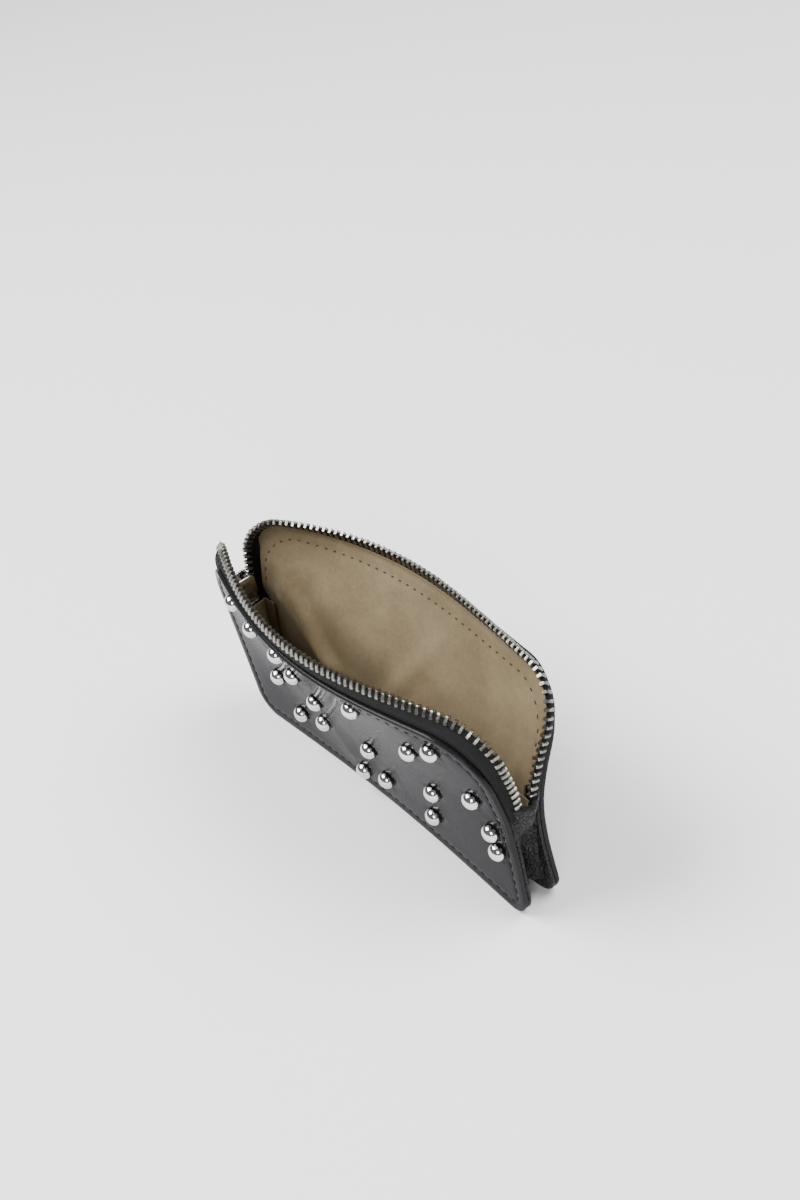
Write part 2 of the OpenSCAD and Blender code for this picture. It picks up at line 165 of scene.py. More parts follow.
def bump(tree, height, strength, distance, under=None):
    made = node(tree, "ShaderNodeBump", Strength=strength, Distance=distance)
    tree.links.new(height, made.inputs["Height"])
    if under is not None:
        tree.links.new(under, made.inputs["Normal"])
    return made.outputs[0]


# finishes
print("finishes")


def makeBlackLeather():
    # polished hide: fine pores and hair creases under a glossy coat, duller where it is cut
    look = {"base": (0.0055, 0.0055, 0.007), "worn": 0.03, "gloss": 0.2, "pore": 5200.0}
    material, tree, shader = newMaterial("blackLeather")
    where = mapped(tree)
    cloud = noise(tree, where, 38.0, 5.0, 0.55)
    tone = ramp(tree, cloud, [(0.3, look["base"]), (0.75, tuple(2 * c for c in look["base"]))])
    cut = tree.nodes.new("ShaderNodeAttribute")
    cut.attribute_name = "cutEdge"
    fibre = noise(tree, mapped(tree, (1, 1, 1)), 2600.0, 6.0, 0.7)
    raw = ramp(tree, fibre, [(0.3, grey(0.006)), (0.8, grey(look["worn"]))])
    colour = mixColour(tree, cut.outputs["Fac"], tone, raw)
    tree.links.new(colour, shader.inputs["Base Color"])
    smear = noise(tree, where, 120.0, 6.0, 0.62)
    gloss = ramp(tree, smear, [(0.3, grey(look["gloss"])), (0.8, grey(look["gloss"] + 0.13))])
    rough = mixColour(tree, cut.outputs["Fac"], gloss, grey(0.62))
    tree.links.new(rough, shader.inputs["Roughness"])
    cells = cellEdges(tree, where, look["pore"])
    pores = ramp(tree, cells, [(0.0, grey(0.0)), (0.12, grey(1.0))])
    fine = noise(tree, where, 3600.0, 3.0, 0.6)
    wave = noise(tree, where, 210.0, 3.0, 0.5, 0.4)
    grain = bump(tree, pores, 0.05, 0.00012)
    grain = bump(tree, fine, 0.06, 0.00015, grain)
    grain = bump(tree, wave, 0.08, 0.0007, grain)
    fuzz = maths(tree, "MULTIPLY", fibre, cut.outputs["Fac"])
    grain = bump(tree, fuzz, 0.8, 0.0004, grain)
    tree.links.new(grain, shader.inputs["Normal"])
    shader.inputs["Specular IOR Level"].default_value = 0.003
    shader.inputs["Coat Weight"].default_value = 0.2
    shader.inputs["Coat Roughness"].default_value = 0.16
    return material


def makeGussetLeather():
    # the same hide with a softer, creased face, as it is folded and handled
    material, tree, shader = newMaterial("gussetLeather")
    where = mapped(tree)
    cloud = noise(tree, where, 300.0, 6.0, 0.6)
    tree.links.new(ramp(tree, cloud, [(0.3, grey(0.006)), (0.8, grey(0.016))]),
                   shader.inputs["Base Color"])
    tree.links.new(ramp(tree, cloud, [(0.3, grey(0.3)), (0.8, grey(0.5))]),
                   shader.inputs["Roughness"])
    crease = cellEdges(tree, mapped(tree, (1, 1, 0.55)), 900.0)
    lines = ramp(tree, crease, [(0.0, grey(0.0)), (0.18, grey(1.0))])
    folds = noise(tree, where, 420.0, 4.0, 0.6, 0.8)
    grain = bump(tree, lines, 0.5, 0.0006)
    grain = bump(tree, folds, 0.35, 0.0008, grain)
    tree.links.new(grain, shader.inputs["Normal"])
    shader.inputs["Specular IOR Level"].default_value = 0.13
    return material


def makeLiningLeather():
    # thin khaki skiver: matt, faintly blotched, with a tight grain and a few rubbed marks
    look = {"light": (0.205, 0.155, 0.085), "dark": (0.13, 0.095, 0.048),
            "mark": (0.1, 0.072, 0.038)}
    material, tree, shader = newMaterial("liningLeather")
    where = mapped(tree)
    blotch = noise(tree, where, 45.0, 5.0, 0.6, 0.3)
    colour = ramp(tree, blotch, [(0.3, look["dark"]), (0.68, look["light"])])
    mottle = noise(tree, where, 900.0, 5.0, 0.7)
    speck = ramp(tree, mottle, [(0.3, grey(0.86)), (0.7, grey(1.05))])
    colour = mixColour(tree, 1.0, colour, speck, "MULTIPLY")
    rub = noise(tree, mapped(tree, (1, 1, 3.0)), 130.0, 6.0, 0.7)
    rubbed = ramp(tree, rub, [(0.62, grey(0.0)), (0.78, grey(0.45))])
    colour = mixColour(tree, rubbed, colour, look["mark"])
    tree.links.new(colour, shader.inputs["Base Color"])
    tree.links.new(ramp(tree, mottle, [(0.3, grey(0.5)), (0.7, grey(0.68))]),
                   shader.inputs["Roughness"])
    cells = cellEdges(tree, where, 2600.0)
    pores = ramp(tree, cells, [(0.0, grey(0.0)), (0.2, grey(1.0))])
    grain = bump(tree, pores, 0.12, 0.00015)
    grain = bump(tree, noise(tree, where, 380.0, 4.0, 0.6), 0.16, 0.0008, grain)
    tree.links.new(grain, shader.inputs["Normal"])
    shader.inputs["Specular IOR Level"].default_value = 0.35
    shader.inputs["Sheen Weight"].default_value = 0.12
    shader.inputs["Sheen Roughness"].default_value = 0.5
    return material


def makeZipTape():
    # woven polyester: a fine herringbone of slanted ribs that turn every few threads; the
    # sizes are in metres along and across the tape
    look = {"turn": 0.0011, "rib": 0.00042, "thread": 0.00036}
    material, tree, shader = newMaterial("zipTape")
    coord = tree.nodes.new("ShaderNodeUVMap")
    coord.uv_map = "weave"
    split = tree.nodes.new("ShaderNodeSeparateXYZ")
    tree.links.new(coord.outputs[0], split.inputs[0])
    along, across = split.outputs[0], split.outputs[1]
    turnBack = maths(tree, "PINGPONG", across, look["turn"])
    slanted = maths(tree, "ADD", along, turnBack)
    ribs = maths(tree, "SINE", maths(tree, "MULTIPLY", slanted, 2 * math.pi / look["rib"]))
    threads = maths(tree, "SINE", maths(tree, "MULTIPLY", across, 2 * math.pi / look["thread"]))
    cloth = maths(tree, "ADD", ribs, maths(tree, "MULTIPLY", threads, 0.5))
    centred = maths(tree, "MULTIPLY_ADD", cloth, 0.3)      # the added input stays at its 0.5
    tone = ramp(tree, centred, [(0.0, grey(0.006)), (0.6, grey(0.02))])
    tree.links.new(tone, shader.inputs["Base Color"])
    lint = noise(tree, mapped(tree), 2200.0, 3.0, 0.6)
    tree.links.new(ramp(tree, lint, [(0.3, grey(0.62)), (0.7, grey(0.82))]),
                   shader.inputs["Roughness"])
    weave = bump(tree, cloth, 0.9, 0.0003)
    weave = bump(tree, lint, 0.3, 0.00015, weave)
    tree.links.new(weave, shader.inputs["Normal"])
    shader.inputs["Sheen Weight"].default_value = 0.03
    shader.inputs["Sheen Roughness"].default_value = 0.4
    shader.inputs["Specular IOR Level"].default_value = 0.06
    return material


def makeMetal(name, colour, roughLow, roughHigh, grime, scratch=0.08, scale=700.0):
    # plated metal: slight cloud in the polish, dark dirt in random patches and hair scratches
    material, tree, shader = newMaterial(name)
    where = mapped(tree)
    cloud = noise(tree, where, scale, 5.0, 0.6)
    dark = tuple(c * grime for c in colour)
    tone = ramp(tree, cloud, [(0.28, dark), (0.55, colour)])
    tree.links.new(tone, shader.inputs["Base Color"])
    smear = noise(tree, where, scale * 2.3, 6.0, 0.65)
    tree.links.new(ramp(tree, smear, [(0.3, grey(roughLow)), (0.75, grey(roughHigh))]),
                   shader.inputs["Roughness"])
    brushed = mapped(tree, (1.0, 14.0, 1.6), (0.3, 0.5, 0.8))
    hair = noise(tree, brushed, scale * 1.5, 3.0, 0.6)
    tree.links.new(bump(tree, hair, scratch, 0.00006), shader.inputs["Normal"])
    shader.inputs["Metallic"].default_value = 1.0
    return material


def makeThread(name, low, high):
    # waxed thread: two plies twisted together, drawn by the stripes across each stitch
    material, tree, shader = newMaterial(name)
    coord = tree.nodes.new("ShaderNodeUVMap")
    coord.uv_map = "weave"
    split = tree.nodes.new("ShaderNodeSeparateXYZ")
    tree.links.new(coord.outputs[0], split.inputs[0])
    twist = maths(tree, "ADD", maths(tree, "MULTIPLY", split.outputs[0], 2 * math.pi * 2.0),
                  maths(tree, "MULTIPLY", split.outputs[1], 2 * math.pi * 2.0))
    ply = maths(tree, "SINE", twist)
    fibre = noise(tree, mapped(tree), 5000.0, 3.0, 0.6)
    tree.links.new(ramp(tree, fibre, [(0.25, low), (0.75, high)]), shader.inputs["Base Color"])
    tree.links.new(ramp(tree, fibre, [(0.3, grey(0.4)), (0.7, grey(0.6))]),
                   shader.inputs["Roughness"])
    tree.links.new(bump(tree, ply, 0.5, 0.0001), shader.inputs["Normal"])
    shader.inputs["Specular IOR Level"].default_value = 0.1
    return material


blackLeather = makeBlackLeather()
gussetLeather = makeGussetLeather()
liningLeather = makeLiningLeather()
zipTapeCloth = makeZipTape()
toothMetal = makeMetal("toothMetal", (0.25, 0.24, 0.215), 0.24, 0.42, 0.4, 0.12, 900.0)
# painted shade: the zip stops get a darker, duller copy of the tooth metal, so they stay dark at
# the ends of the rows
stopMetalPaintedShade = makeMetal("stopMetalPaintedShade", (0.1, 0.092, 0.08), 0.5, 0.65, 0.4, 0.12, 900.0)
sliderMetal = makeMetal("sliderMetal", (0.64, 0.62, 0.58), 0.1, 0.26, 0.75, 0.1, 500.0)
studMetal = makeMetal("studMetal", (0.66, 0.65, 0.63), 0.06, 0.13, 0.85, 0.03, 600.0)
blackThread = makeThread("blackThread", grey(0.002), grey(0.008))
khakiThread = makeThread("khakiThread", (0.02, 0.015, 0.008), (0.11, 0.085, 0.045))

# mesh helpers


def unit(v):
    return v / np.maximum(np.linalg.norm(v, axis=-1, keepdims=True), 1e-9)


def addMesh(name, points, faces, material, uv=None, attributes=None, smoothAngle=50.0):
    # points in the pouch's own millimetres, faces as index rows of three or four
    mesh = bpy.data.meshes.new(name)
    mesh.from_pydata(toFrame(points).tolist(), [], [list(map(int, f)) for f in faces])
    mesh.polygons.foreach_set("use_smooth", np.ones(len(mesh.polygons), bool))
    if uv is not None:
        loops = np.empty(len(mesh.loops), int)
        mesh.loops.foreach_get("vertex_index", loops)
        weave = mesh.uv_layers.new(name="weave")
        weave.data.foreach_set("uv", np.asarray(uv, float)[loops].ravel())
    for key, values in (attributes or {}).items():
        made = mesh.attributes.new(key, "FLOAT", "POINT")
        made.data.foreach_set("value", np.asarray(values, np.float32))
    mesh.update()
    mesh.set_sharp_from_angle(angle=math.radians(smoothAngle))
    mesh.materials.append(material)
    piece = bpy.data.objects.new(name, mesh)
    scene.collection.objects.link(piece)
    return piece


def gridFaces(rows, cols, start=0, wrap=False, flip=False):
    # quads between neighbouring points of a grid, closed round the columns if wrap
    i, j = np.meshgrid(np.arange(rows - 1), np.arange(cols if wrap else cols - 1), indexing="ij")
    k = (j + 1) % cols
    quads = np.stack([i * cols + j, i * cols + k, (i + 1) * cols + k, (i + 1) * cols + j], -1)
    quads = quads.reshape(-1, 4) + start
    return quads[:, ::-1] if flip else quads


def gridNormals(grid):
    # cross product of the two directions of a grid, one unit vector for each point
    normal = np.cross(np.gradient(grid, axis=1), np.gradient(grid, axis=0))
    return normal / np.maximum(np.linalg.norm(normal, axis=-1, keepdims=True), 1e-9)


def rimIndex(rows, cols):
    # the border of a grid as one loop of indices
    index = np.arange(rows * cols).reshape(rows, cols)
    return np.concatenate([index[0, :-1], index[:-1, -1], index[-1, :0:-1], index[:0:-1, 0]])


def closedShell(name, outer, inner, rims, material, uvGrid=None, edge=True, flip=False,
                smoothAngle=50.0):
    # two grids with the same border order, joined by the rim loops between them
    rows, cols = outer.shape[:2]
    count = rows * cols
    border = rimIndex(rows, cols)
    points = [outer.reshape(-1, 3), inner.reshape(-1, 3)] + list(rims)
    loops = [border] + [2 * count + len(border) * k + np.arange(len(border))
                        for k in range(len(rims))] + [border + count]
    faces = [gridFaces(rows, cols, 0, flip=not flip), gridFaces(rows, cols, count, flip=flip)]
    for a, b in zip(loops[:-1], loops[1:]):
        strip = np.stack([a, np.roll(a, -1), np.roll(b, -1), b], -1)
        faces.append(strip[:, ::-1] if flip else strip)
    uv = None
    if uvGrid is not None:
        flat = uvGrid.reshape(-1, 2)
        uv = np.concatenate([flat, flat] + [flat[border]] * len(rims))
    cut = np.zeros(2 * count + len(border) * len(rims))
    if edge:
        cut[2 * count:] = 1.0
    return addMesh(name, np.concatenate(points), np.concatenate(faces), material, uv,
                   {"cutEdge": cut}, smoothAngle)


def thickSheet(name, middle, thickness, material, uvGrid=None, edge=False, flip=False,
               smoothAngle=50.0, normal=None, split=None):
    # a sheet of even thickness about a grid of middle points, with a half round border that is
    # left square where split marks the line that the next sheet continues from
    if normal is None:
        normal = gridNormals(middle)
    normal = normal * (-1 if flip else 1)
    outer = middle + normal * thickness / 2
    inner = middle - normal * thickness / 2
    border = rimIndex(*middle.shape[:2])
    centre, n = middle.reshape(-1, 3)[border], normal.reshape(-1, 3)[border]
    along = np.roll(centre, -1, 0) - np.roll(centre, 1, 0)
    out = unit(np.cross(along, n)) * (-1 if flip else 1)
    if split is not None:
        out = out * (1 - split.reshape(-1)[border])[:, None]
    rims = [centre + n * math.cos(a) * thickness / 2 + out * math.sin(a) * thickness * 0.25
            for a in np.radians([40, 90, 140])]
    return closedShell(name, outer, inner, rims, material, uvGrid, edge, flip, smoothAngle)


def sweep(name, rings, material, uv=None, smoothAngle=50.0, flip=False):
    # a closed profile carried along a path, one ring of points for each step, ends capped
    steps, around = rings.shape[:2]
    points = np.concatenate([rings.reshape(-1, 3), rings[:1].mean(1), rings[-1:].mean(1)])
    faces = [list(f) for f in gridFaces(steps, around, 0, wrap=True, flip=flip)]
    last = (steps - 1) * around
    for j in range(around):
        k = (j + 1) % around
        first = [steps * around, k, j]
        end = [steps * around + 1, last + j, last + k]
        faces += [first[::-1], end[::-1]] if flip else [first, end]
    if uv is not None:
        uv = np.concatenate([uv.reshape(-1, 2), uv[:1].mean(1), uv[-1:].mean(1)])
    return addMesh(name, points, faces, material, uv, None, smoothAngle)


def repeated(name, points, faces, origins, axesSet, material, uv=None, smoothAngle=50.0):
    # one small shape set down many times: place = origin + axes times point
    count, size = len(origins), len(points)
    local = np.broadcast_to(points, (count, size, 3))
    places = origins[:, None, :] + np.einsum("kij,knj->kni", axesSet, local)
    allFaces = [[i + k * size for i in f] for k in range(count) for f in faces]
    allUv = None if uv is None else np.tile(uv, (count, 1))
    return addMesh(name, places.reshape(-1, 3), allFaces, material, allUv, None, smoothAngle)


# the shape of the open pouch
pouch = {
    "width": 120.0, "height": 61.0, "topRadius": 15.0, "zipRadius": 9.5, "baseRadius": 7.0,
    "leather": 1.3, "baseHalf": 6.0, "baseDraw": 2.0, "gussetHeight": 33.5, "swell": 6.0,
    "endHalf": (6.25, 4.45), "edgePower": 1.09, "tape": 5.0, "tapeThick": 0.5,
}
frontWall = {"side": -1.0, "lean": 0.0, "belly": 14.5, "flare": (0.03, 0.20),
             "tapeLean": 44.0, "taller": -1.9}
backWall = {"side": 1.0, "lean": 0.009, "belly": 20.95, "flare": (0.20, 0.55),
            "tapeLean": 60.0, "taller": 1.5}
halfWidth = pouch["width"] / 2


def smooth(t):
    t = np.clip(t, 0, 1)
    return t * t * (3 - 2 * t)


def skin(x, h, wall):
    # outward distance mixes a bellied middle line and a flared side line by how near the edge
    # is; width and height then shrink by the share that a bulge of fixed length takes up
    x, h = np.broadcast_arrays(np.asarray(x, float), np.asarray(h, float))
    right = np.clip((x / halfWidth + 1) / 2, 0, 1)
    across = np.pi / 2 * np.minimum(np.abs(x) / halfWidth, 1)
    edge = 1 - np.cos(across).clip(0) ** pouch["edgePower"]
    base = pouch["baseHalf"]
    middle = base - pouch["baseDraw"] + wall["lean"] * h
    middle = middle + wall["belly"] * (h / pouch["height"]) ** 2
    end = pouch["endHalf"][0] + (pouch["endHalf"][1] - pouch["endHalf"][0]) * right
    leanOut = wall["flare"][0] + (wall["flare"][1] - wall["flare"][0]) * right
    swell = pouch["swell"] * np.logaddexp(0, (h - pouch["gussetHeight"]) / pouch["swell"])
    side = base + (end - base) * np.minimum(h / pouch["gussetHeight"], 1) + leanOut * swell
    y = middle + (side - middle) * edge
    foot = base - pouch["baseDraw"] * (1 - edge)
    return np.stack([x * (1 - 8 / 3 * ((middle - side) / pouch["width"]) ** 2),
                     wall["side"] * y, h - 0.5 * (y - foot) ** 2 / np.maximum(h, 1)], -1)


def inward(x, h, wall):
    # unit normal into the pouch, from the slopes of the wall
    d = 0.3
    x, h = np.broadcast_arrays(np.asarray(x, float), np.asarray(h, float))
    slopeX = skin(x + d, h, wall) - skin(x - d, h, wall)
    slopeH = skin(x, h + d, wall) - skin(x, np.maximum(h - d, 0), wall)
    normal = np.cross(slopeX, slopeH) * wall["side"]
    return normal / np.linalg.norm(normal, axis=-1, keepdims=True)


def layer(x, h, wall, depth):
    depth = np.asarray(depth, float)
    return skin(x, h, wall) + inward(x, h, wall) * depth[..., None]


def spaced(count, crowd=0.0):
    # 0 to 1 in even steps, drawn towards both ends by crowd
    t = np.linspace(0, 1, count)
    return t - crowd * np.sin(2 * np.pi * t) / (2 * np.pi)


def outlineGrid(inset, rows, cols):
    # rows of heights from the lower edge to the upper, each as wide as the rounded outline there
    low, high = pouch["baseRadius"] - inset, pouch["topRadius"] - inset
    half, top = halfWidth - inset, pouch["height"] - inset
    corner = np.linspace(0, np.pi / 2, 12)
    foot = inset + low * (1 - np.cos(corner))
    head = top - high * (1 - np.sin(corner))
    between = foot[-1] + (head[0] - foot[-1]) * np.linspace(0, 1, rows - 22)[1:-1]
    h = np.concatenate([foot, between, head])
    reach = np.concatenate([half - low + low * np.sin(corner), np.full(len(between), half),
                            half - high + high * np.cos(corner)])
    u = 2 * spaced(cols, 0.55) - 1
    return u[None, :] * reach[:, None], np.broadcast_to(h[:, None], (len(h), cols))


def standUp(x, h, wall):
    # the back leather's edge stands a little above the line that its zip is sewn along and the
    # front's below it, more so to the right: h + taller (h / height)^3 (0.7 + 0.3 x / halfWidth)
    return h + wall["taller"] * (h / pouch["height"]) ** 3 * (0.7 + 0.3 * x / halfWidth)


def distanceIn(x, h):
    # how far a point of a panel lies inside its rounded outline
    low, high = pouch["baseRadius"], pouch["topRadius"]
    r = np.where(h < pouch["height"] / 2, low, high)
    dx = np.abs(x) - (halfWidth - r)
    dh = np.abs(h - pouch["height"] / 2) - (pouch["height"] / 2 - r)
    corner = np.hypot(np.maximum(dx, 0), np.maximum(dh, 0))
    return r - (corner + np.minimum(np.maximum(dx, dh), 0))


# stud places on the front wall: along the pouch, and up the leather
studPlaces = np.array([
    (-44, 52), (-34, 49), (-22, 47), (-40, 24), (-23, 36.5), (-18, 28.5), (-35, 12),
    (-20.5, 18), (17, 52.5), (3, 23), (-7.5, 7), (5, 12), (32, 44), (44.5, 52.5),
    (31, 26), (25.5, 12.5), (50, 37), (53, 27), (53.5, 20.5)], float)


def leatherRelief(x, h, wall):
    # outward height in millimetres: a pressed channel under the stitches, a soft roll at the
    # edge and long shallow waves; the front adds one slanting ridge and a dimple and a pucker at
    # each stud, and the back adds one low step
    look = {"channel": 0.16, "roll": 0.06, "wave": 0.10, "ripple": 0.05, "ridge": 0.75,
            "dimple": 0.14, "pucker": (0.16, 0.22), "step": 0.22}
    d = distanceIn(x, h)
    relief = -look["channel"] * np.exp(-((d - 3.0) / 0.55) ** 2)
    relief = relief + look["roll"] * np.exp(-((d - 1.5) / 0.8) ** 2)
    relief = relief + look["wave"] * np.sin(x / 11.0 + h / 17.0) * smooth(d / 9)
    relief = relief + look["ripple"] * np.sin(x / 6.1 - h / 7.3 + 1.3) * smooth(d / 8)
    if wall["side"] > 0:
        line = (x - 14.0) * 0.5 + (h - 30.0) * 0.86
        return relief + look["step"] * np.tanh(line / 5.0) * smooth(d / 12)
    line = (x + 33.0) * 0.877 + (h - 48.0) * 0.48
    relief = relief + look["ridge"] * np.exp(-np.sqrt(line ** 2 + 5) / 12) * smooth(d / 11)
    for k, (px, ph) in enumerate(studPlaces):
        dx, dh = x - px, h - ph
        relief = relief - look["dimple"] * np.exp(-((np.hypot(dx, dh) - 2.4) / 0.9) ** 2)
        pull = look["pucker"][0] + look["pucker"][1] * ((k * 5) % 7) / 7
        relief = relief - pull * np.exp(-((dx - 2.6) ** 2 + (dh - 2.4) ** 2) / 3.2)
        relief = relief + 0.5 * pull * np.exp(-((dx - 4.6) ** 2 / 2 + (dh - 4.2) ** 2 / 5))
    return relief


def halves(columns):
    # split the columns at the middle into a left and a right half that share the middle column
    middle = columns // 2
    return {"Left": slice(0, middle + 1), "Right": slice(middle, columns)}


def followMouth(piece):
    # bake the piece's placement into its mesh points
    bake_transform(piece)


# leather panels
print("leather panels")
panelGrid = {"rows": 96, "cols": 201, "round": 0.32}


def makePanel(wall, body, nodeName):
    r, t = panelGrid["round"], pouch["leather"]
    profile = [(r * 0.4, 0.1), (0.0, r), (0.0, t - r), (r * 0.4, t - 0.1)]

    def at(inset, depth, cols):
        x, h = outlineGrid(inset, panelGrid["rows"], panelGrid["cols"])
        x, h = x[:, cols], h[:, cols]
        fade = max(0.0, 1 - depth / t)
        grid = layer(x, standUp(x, h, wall), wall, depth - leatherRelief(x, h, wall) * fade)
        grid[..., 2] = np.maximum(grid[..., 2], 0.0)
        return grid

    for end, cols in halves(panelGrid["cols"]).items():
        outer = at(r, 0.0, cols)
        border = rimIndex(*outer.shape[:2])
        rims = [at(inset, depth, cols).reshape(-1, 3)[border] for inset, depth in profile]
        piece = closedShell(body + "Panel" + end, outer, at(r, t, cols), rims, blackLeather,
                            flip=wall["side"] > 0)
        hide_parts(nodeName)
        followMouth(piece)


makePanel(frontWall, "front", "front_panel")
makePanel(backWall, "back", "back_panel")

# gusset
print("gusset")
gussetLook = {"thick": 0.9, "flange": 3.5, "fold": 3.0, "depth": 1.4, "settle": 24.0,
              "rightTop": 3.4, "rightOut": 4.7, "liningTop": 2.9, "rows": 280}
gussetTop = pouch["gussetHeight"] - 0.4
sideLength = gussetTop - pouch["baseRadius"]
bendLength = math.pi / 2 * pouch["baseRadius"]
baseLength = pouch["width"] - 2 * pouch["baseRadius"]
uLength = 2 * sideLength + 2 * bendLength + baseLength


def uPath(s):
    # the outline from the top of the right side, down, along the base and up the left side:
    # straight, quarter circle, straight, mirrored at the middle
    s = np.asarray(s, float)
    near = np.minimum(s, uLength - s)
    sign = np.where(s <= uLength / 2, 1.0, -1.0)
    r = pouch["baseRadius"]
    angle = np.clip((near - sideLength) / r, 0, np.pi / 2)
    straight = np.maximum(near - sideLength - bendLength, 0)
    x = halfWidth - r * (1 - np.cos(angle)) - straight
    h = np.where(near < sideLength, gussetTop - near, r * (1 - np.sin(angle)))
    return x * sign, h, np.cos(angle) * sign, -np.sin(angle)


def settle(s):
    return smooth(np.minimum(s, uLength - s) / gussetLook["settle"])


def insetPoint(s, inset, wall, depth):
    x, h, nx, nh = uPath(s)
    return layer(x - nx * inset, np.maximum(h - nh * inset, 0), wall, depth)


def gussetHalf(s, depth, extra, flangeStart, wall, crumple):
    # from one flange: along the panel, round a small bend, then over to the middle, where the
    # strip is pushed in by a fold; its top is turned out instead, past the ends of the zip
    webIn = 0.6 + (gussetLook["flange"] - 0.6) * settle(s) + extra
    topOut = smooth(1 - (s + gussetLook["rightTop"]) / 14.0) * gussetLook["rightOut"]
    foldIn = webIn + 0.4 + (gussetLook["fold"] - 0.4) * settle(s) - topOut
    flange = np.linspace(0, 1, 9)[None, :]
    along = flangeStart + (webIn - 0.5 - flangeStart) * flange
    front = insetPoint(np.broadcast_to(s, along.shape), along, wall, np.full(along.shape, depth))
    t = np.linspace(0.0, 1.0, 27)[None, 1:]
    bow = topOut / gussetLook["rightOut"]
    inset = webIn + (foldIn - webIn) * (t ** 1.4 + bow * (t ** 0.7 - t ** 1.4))
    deep = np.full(inset.shape, depth + 0.5)
    near = insetPoint(np.broadcast_to(s, inset.shape), inset, wall, deep)
    other = backWall if wall["side"] < 0 else frontWall
    far = insetPoint(np.broadcast_to(s, inset.shape), inset, other, deep)
    web = near + ((near + far) / 2 - near) * t[..., None]
    ripple = crumple * np.sin(np.pi * t) * settle(s) * (
        0.22 * np.sin(s / 2.3 + 5 * t) + 0.16 * np.sin(s / 1.1 - 7 * t + 1.0))
    nx, nh = uPath(s)[2:]
    web[..., 0] -= nx * ripple
    web[..., 2] -= nh * ripple
    return np.concatenate([front, web], 1)


def gussetSheet(start, end, depth, extra, flangeStart, crumple):
    s = start + spaced(gussetLook["rows"], 0.35)[:, None] * (uLength + end - start)
    front = gussetHalf(s, depth, extra, flangeStart, frontWall, crumple)
    back = gussetHalf(s, depth, extra, flangeStart, backWall, crumple)
    return np.concatenate([front, back[:, -2::-1]], 1)


def hemTube(name, line, radius, material):
    # a round bead along a line of points: point + radius (cos g side + sin g up)
    along = unit(np.gradient(line, axis=0))
    up = np.array([0.0, 0.0, 1.0]) - along * along[:, 2:3]
    up = unit(up)
    side = np.cross(along, up)
    g = np.linspace(0, 2 * np.pi, 15)[:-1]
    rings = line[:, None, :] + radius * (np.cos(g)[None, :, None] * side[:, None, :]
                                         + np.sin(g)[None, :, None] * up[:, None, :])
    return sweep(name, rings, material, flip=True)


def makeGusset():
    depth = gussetLook["depth"] + gussetLook["thick"] / 2
    outer = gussetSheet(-gussetLook["rightTop"], 0.0, depth, 0.45, 0.3, 1.0)
    inner = gussetSheet(0.5, gussetLook["liningTop"], liningLook["depth"] + 1.0, 1.6, 6.3, 0.6)
    made = [(thickSheet("gussetStrip", outer, gussetLook["thick"], gussetLeather,
                        smoothAngle=60), "gusset", "black_leather"),
            (hemTube("gussetHemRight", outer[0, 5:-5], 0.72, gussetLeather), "gusset",
             "black_leather"),
            (hemTube("gussetHemLeft", outer[-1, 5:-5], 0.6, gussetLeather), "gusset",
             "black_leather"),
            (thickSheet("gussetLiningStrip", inner, 0.4, liningLeather, smoothAngle=60),
             "gusset_lining", "khaki_lining")]
    for piece, nodeName, slotName in made:
        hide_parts(nodeName)
        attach(piece, "root")


# zip
print("zip")
riseLength = pouch["height"] - pouch["zipRadius"] - pouch["gussetHeight"]
turnLength = math.pi / 2 * pouch["zipRadius"]
topLength = pouch["width"] - 2 * pouch["zipRadius"]
mouthLength = 2 * riseLength + 2 * turnLength + topLength
zipLook = {"under": 5.0, "depth": 1.65, "rowGap": 1.3, "cord": 0.62, "cordAt": 4.6,
           "pitch": 2.0, "end": 2.0, "endLean": 81.0, "arch": 0.35, "jitter": 0.03}


def mouthPath(s):
    # the edge from the right zip end up, over the top and down to the left zip end
    s = np.asarray(s, float)
    near = np.minimum(s, mouthLength - s)
    sign = np.where(s <= mouthLength / 2, 1.0, -1.0)
    r = pouch["zipRadius"]
    angle = np.clip((near - riseLength) / r, 0, np.pi / 2)
    straight = np.maximum(near - riseLength - turnLength, 0)
    x = halfWidth - r * (1 - np.cos(angle)) - straight
    h = np.where(near < riseLength, pouch["gussetHeight"] + near,
                 pouch["height"] - r * (1 - np.sin(angle)))
    return x * sign, h, np.cos(angle) * sign, np.sin(angle)


def toothRow(s, wall):
    # the edge point moved over by the tape's width, leaning in along the top and lying square
    # across the pouch at the ends, and kept off the middle plane
    x, h, nx, nh = mouthPath(s)
    out = unit(skin(x + nx / 2, h + nh / 2, wall) - skin(x - nx / 2, h - nh / 2, wall))
    near = np.minimum(s, mouthLength - s)
    atEnd = np.exp(-(near / (riseLength + 0.7 * turnLength)) ** 2)
    lean = np.radians(wall["tapeLean"] + (zipLook["endLean"] - wall["tapeLean"]) * atEnd)
    row = skin(x, h, wall) + pouch["tape"] * (np.cos(lean)[..., None] * out
                                             + np.sin(lean)[..., None] * inward(x, h, wall))
    y = wall["side"] * row[..., 1]
    row[..., 1] = wall["side"] * (zipLook["rowGap"]
                                  + 0.5 * np.logaddexp(0, (y - zipLook["rowGap"]) / 0.5))
    return row


def tapePoint(s, v, wall):
    # middle of the tape: under the leather where v is negative, free beyond its edge
    s, v = np.broadcast_arrays(np.asarray(s, float), np.asarray(v, float))
    x, h, nx, nh = mouthPath(s)
    under = np.minimum(v, 0)
    root = layer(x + nx * under, h + nh * under, wall, np.full(s.shape, zipLook["depth"]))
    t = np.maximum(v, 0)[..., None] / pouch["tape"]
    arch = 4 * t * (1 - np.minimum(t, 1)) * zipLook["arch"]
    return root + (toothRow(s, wall) - root) * t - inward(x, h, wall) * arch


def rowRun(wall):
    s = np.linspace(0, mouthLength, 1200)
    row = toothRow(s, wall)
    return np.concatenate([[0], np.cumsum(np.linalg.norm(np.diff(row, axis=0), axis=1))]), s


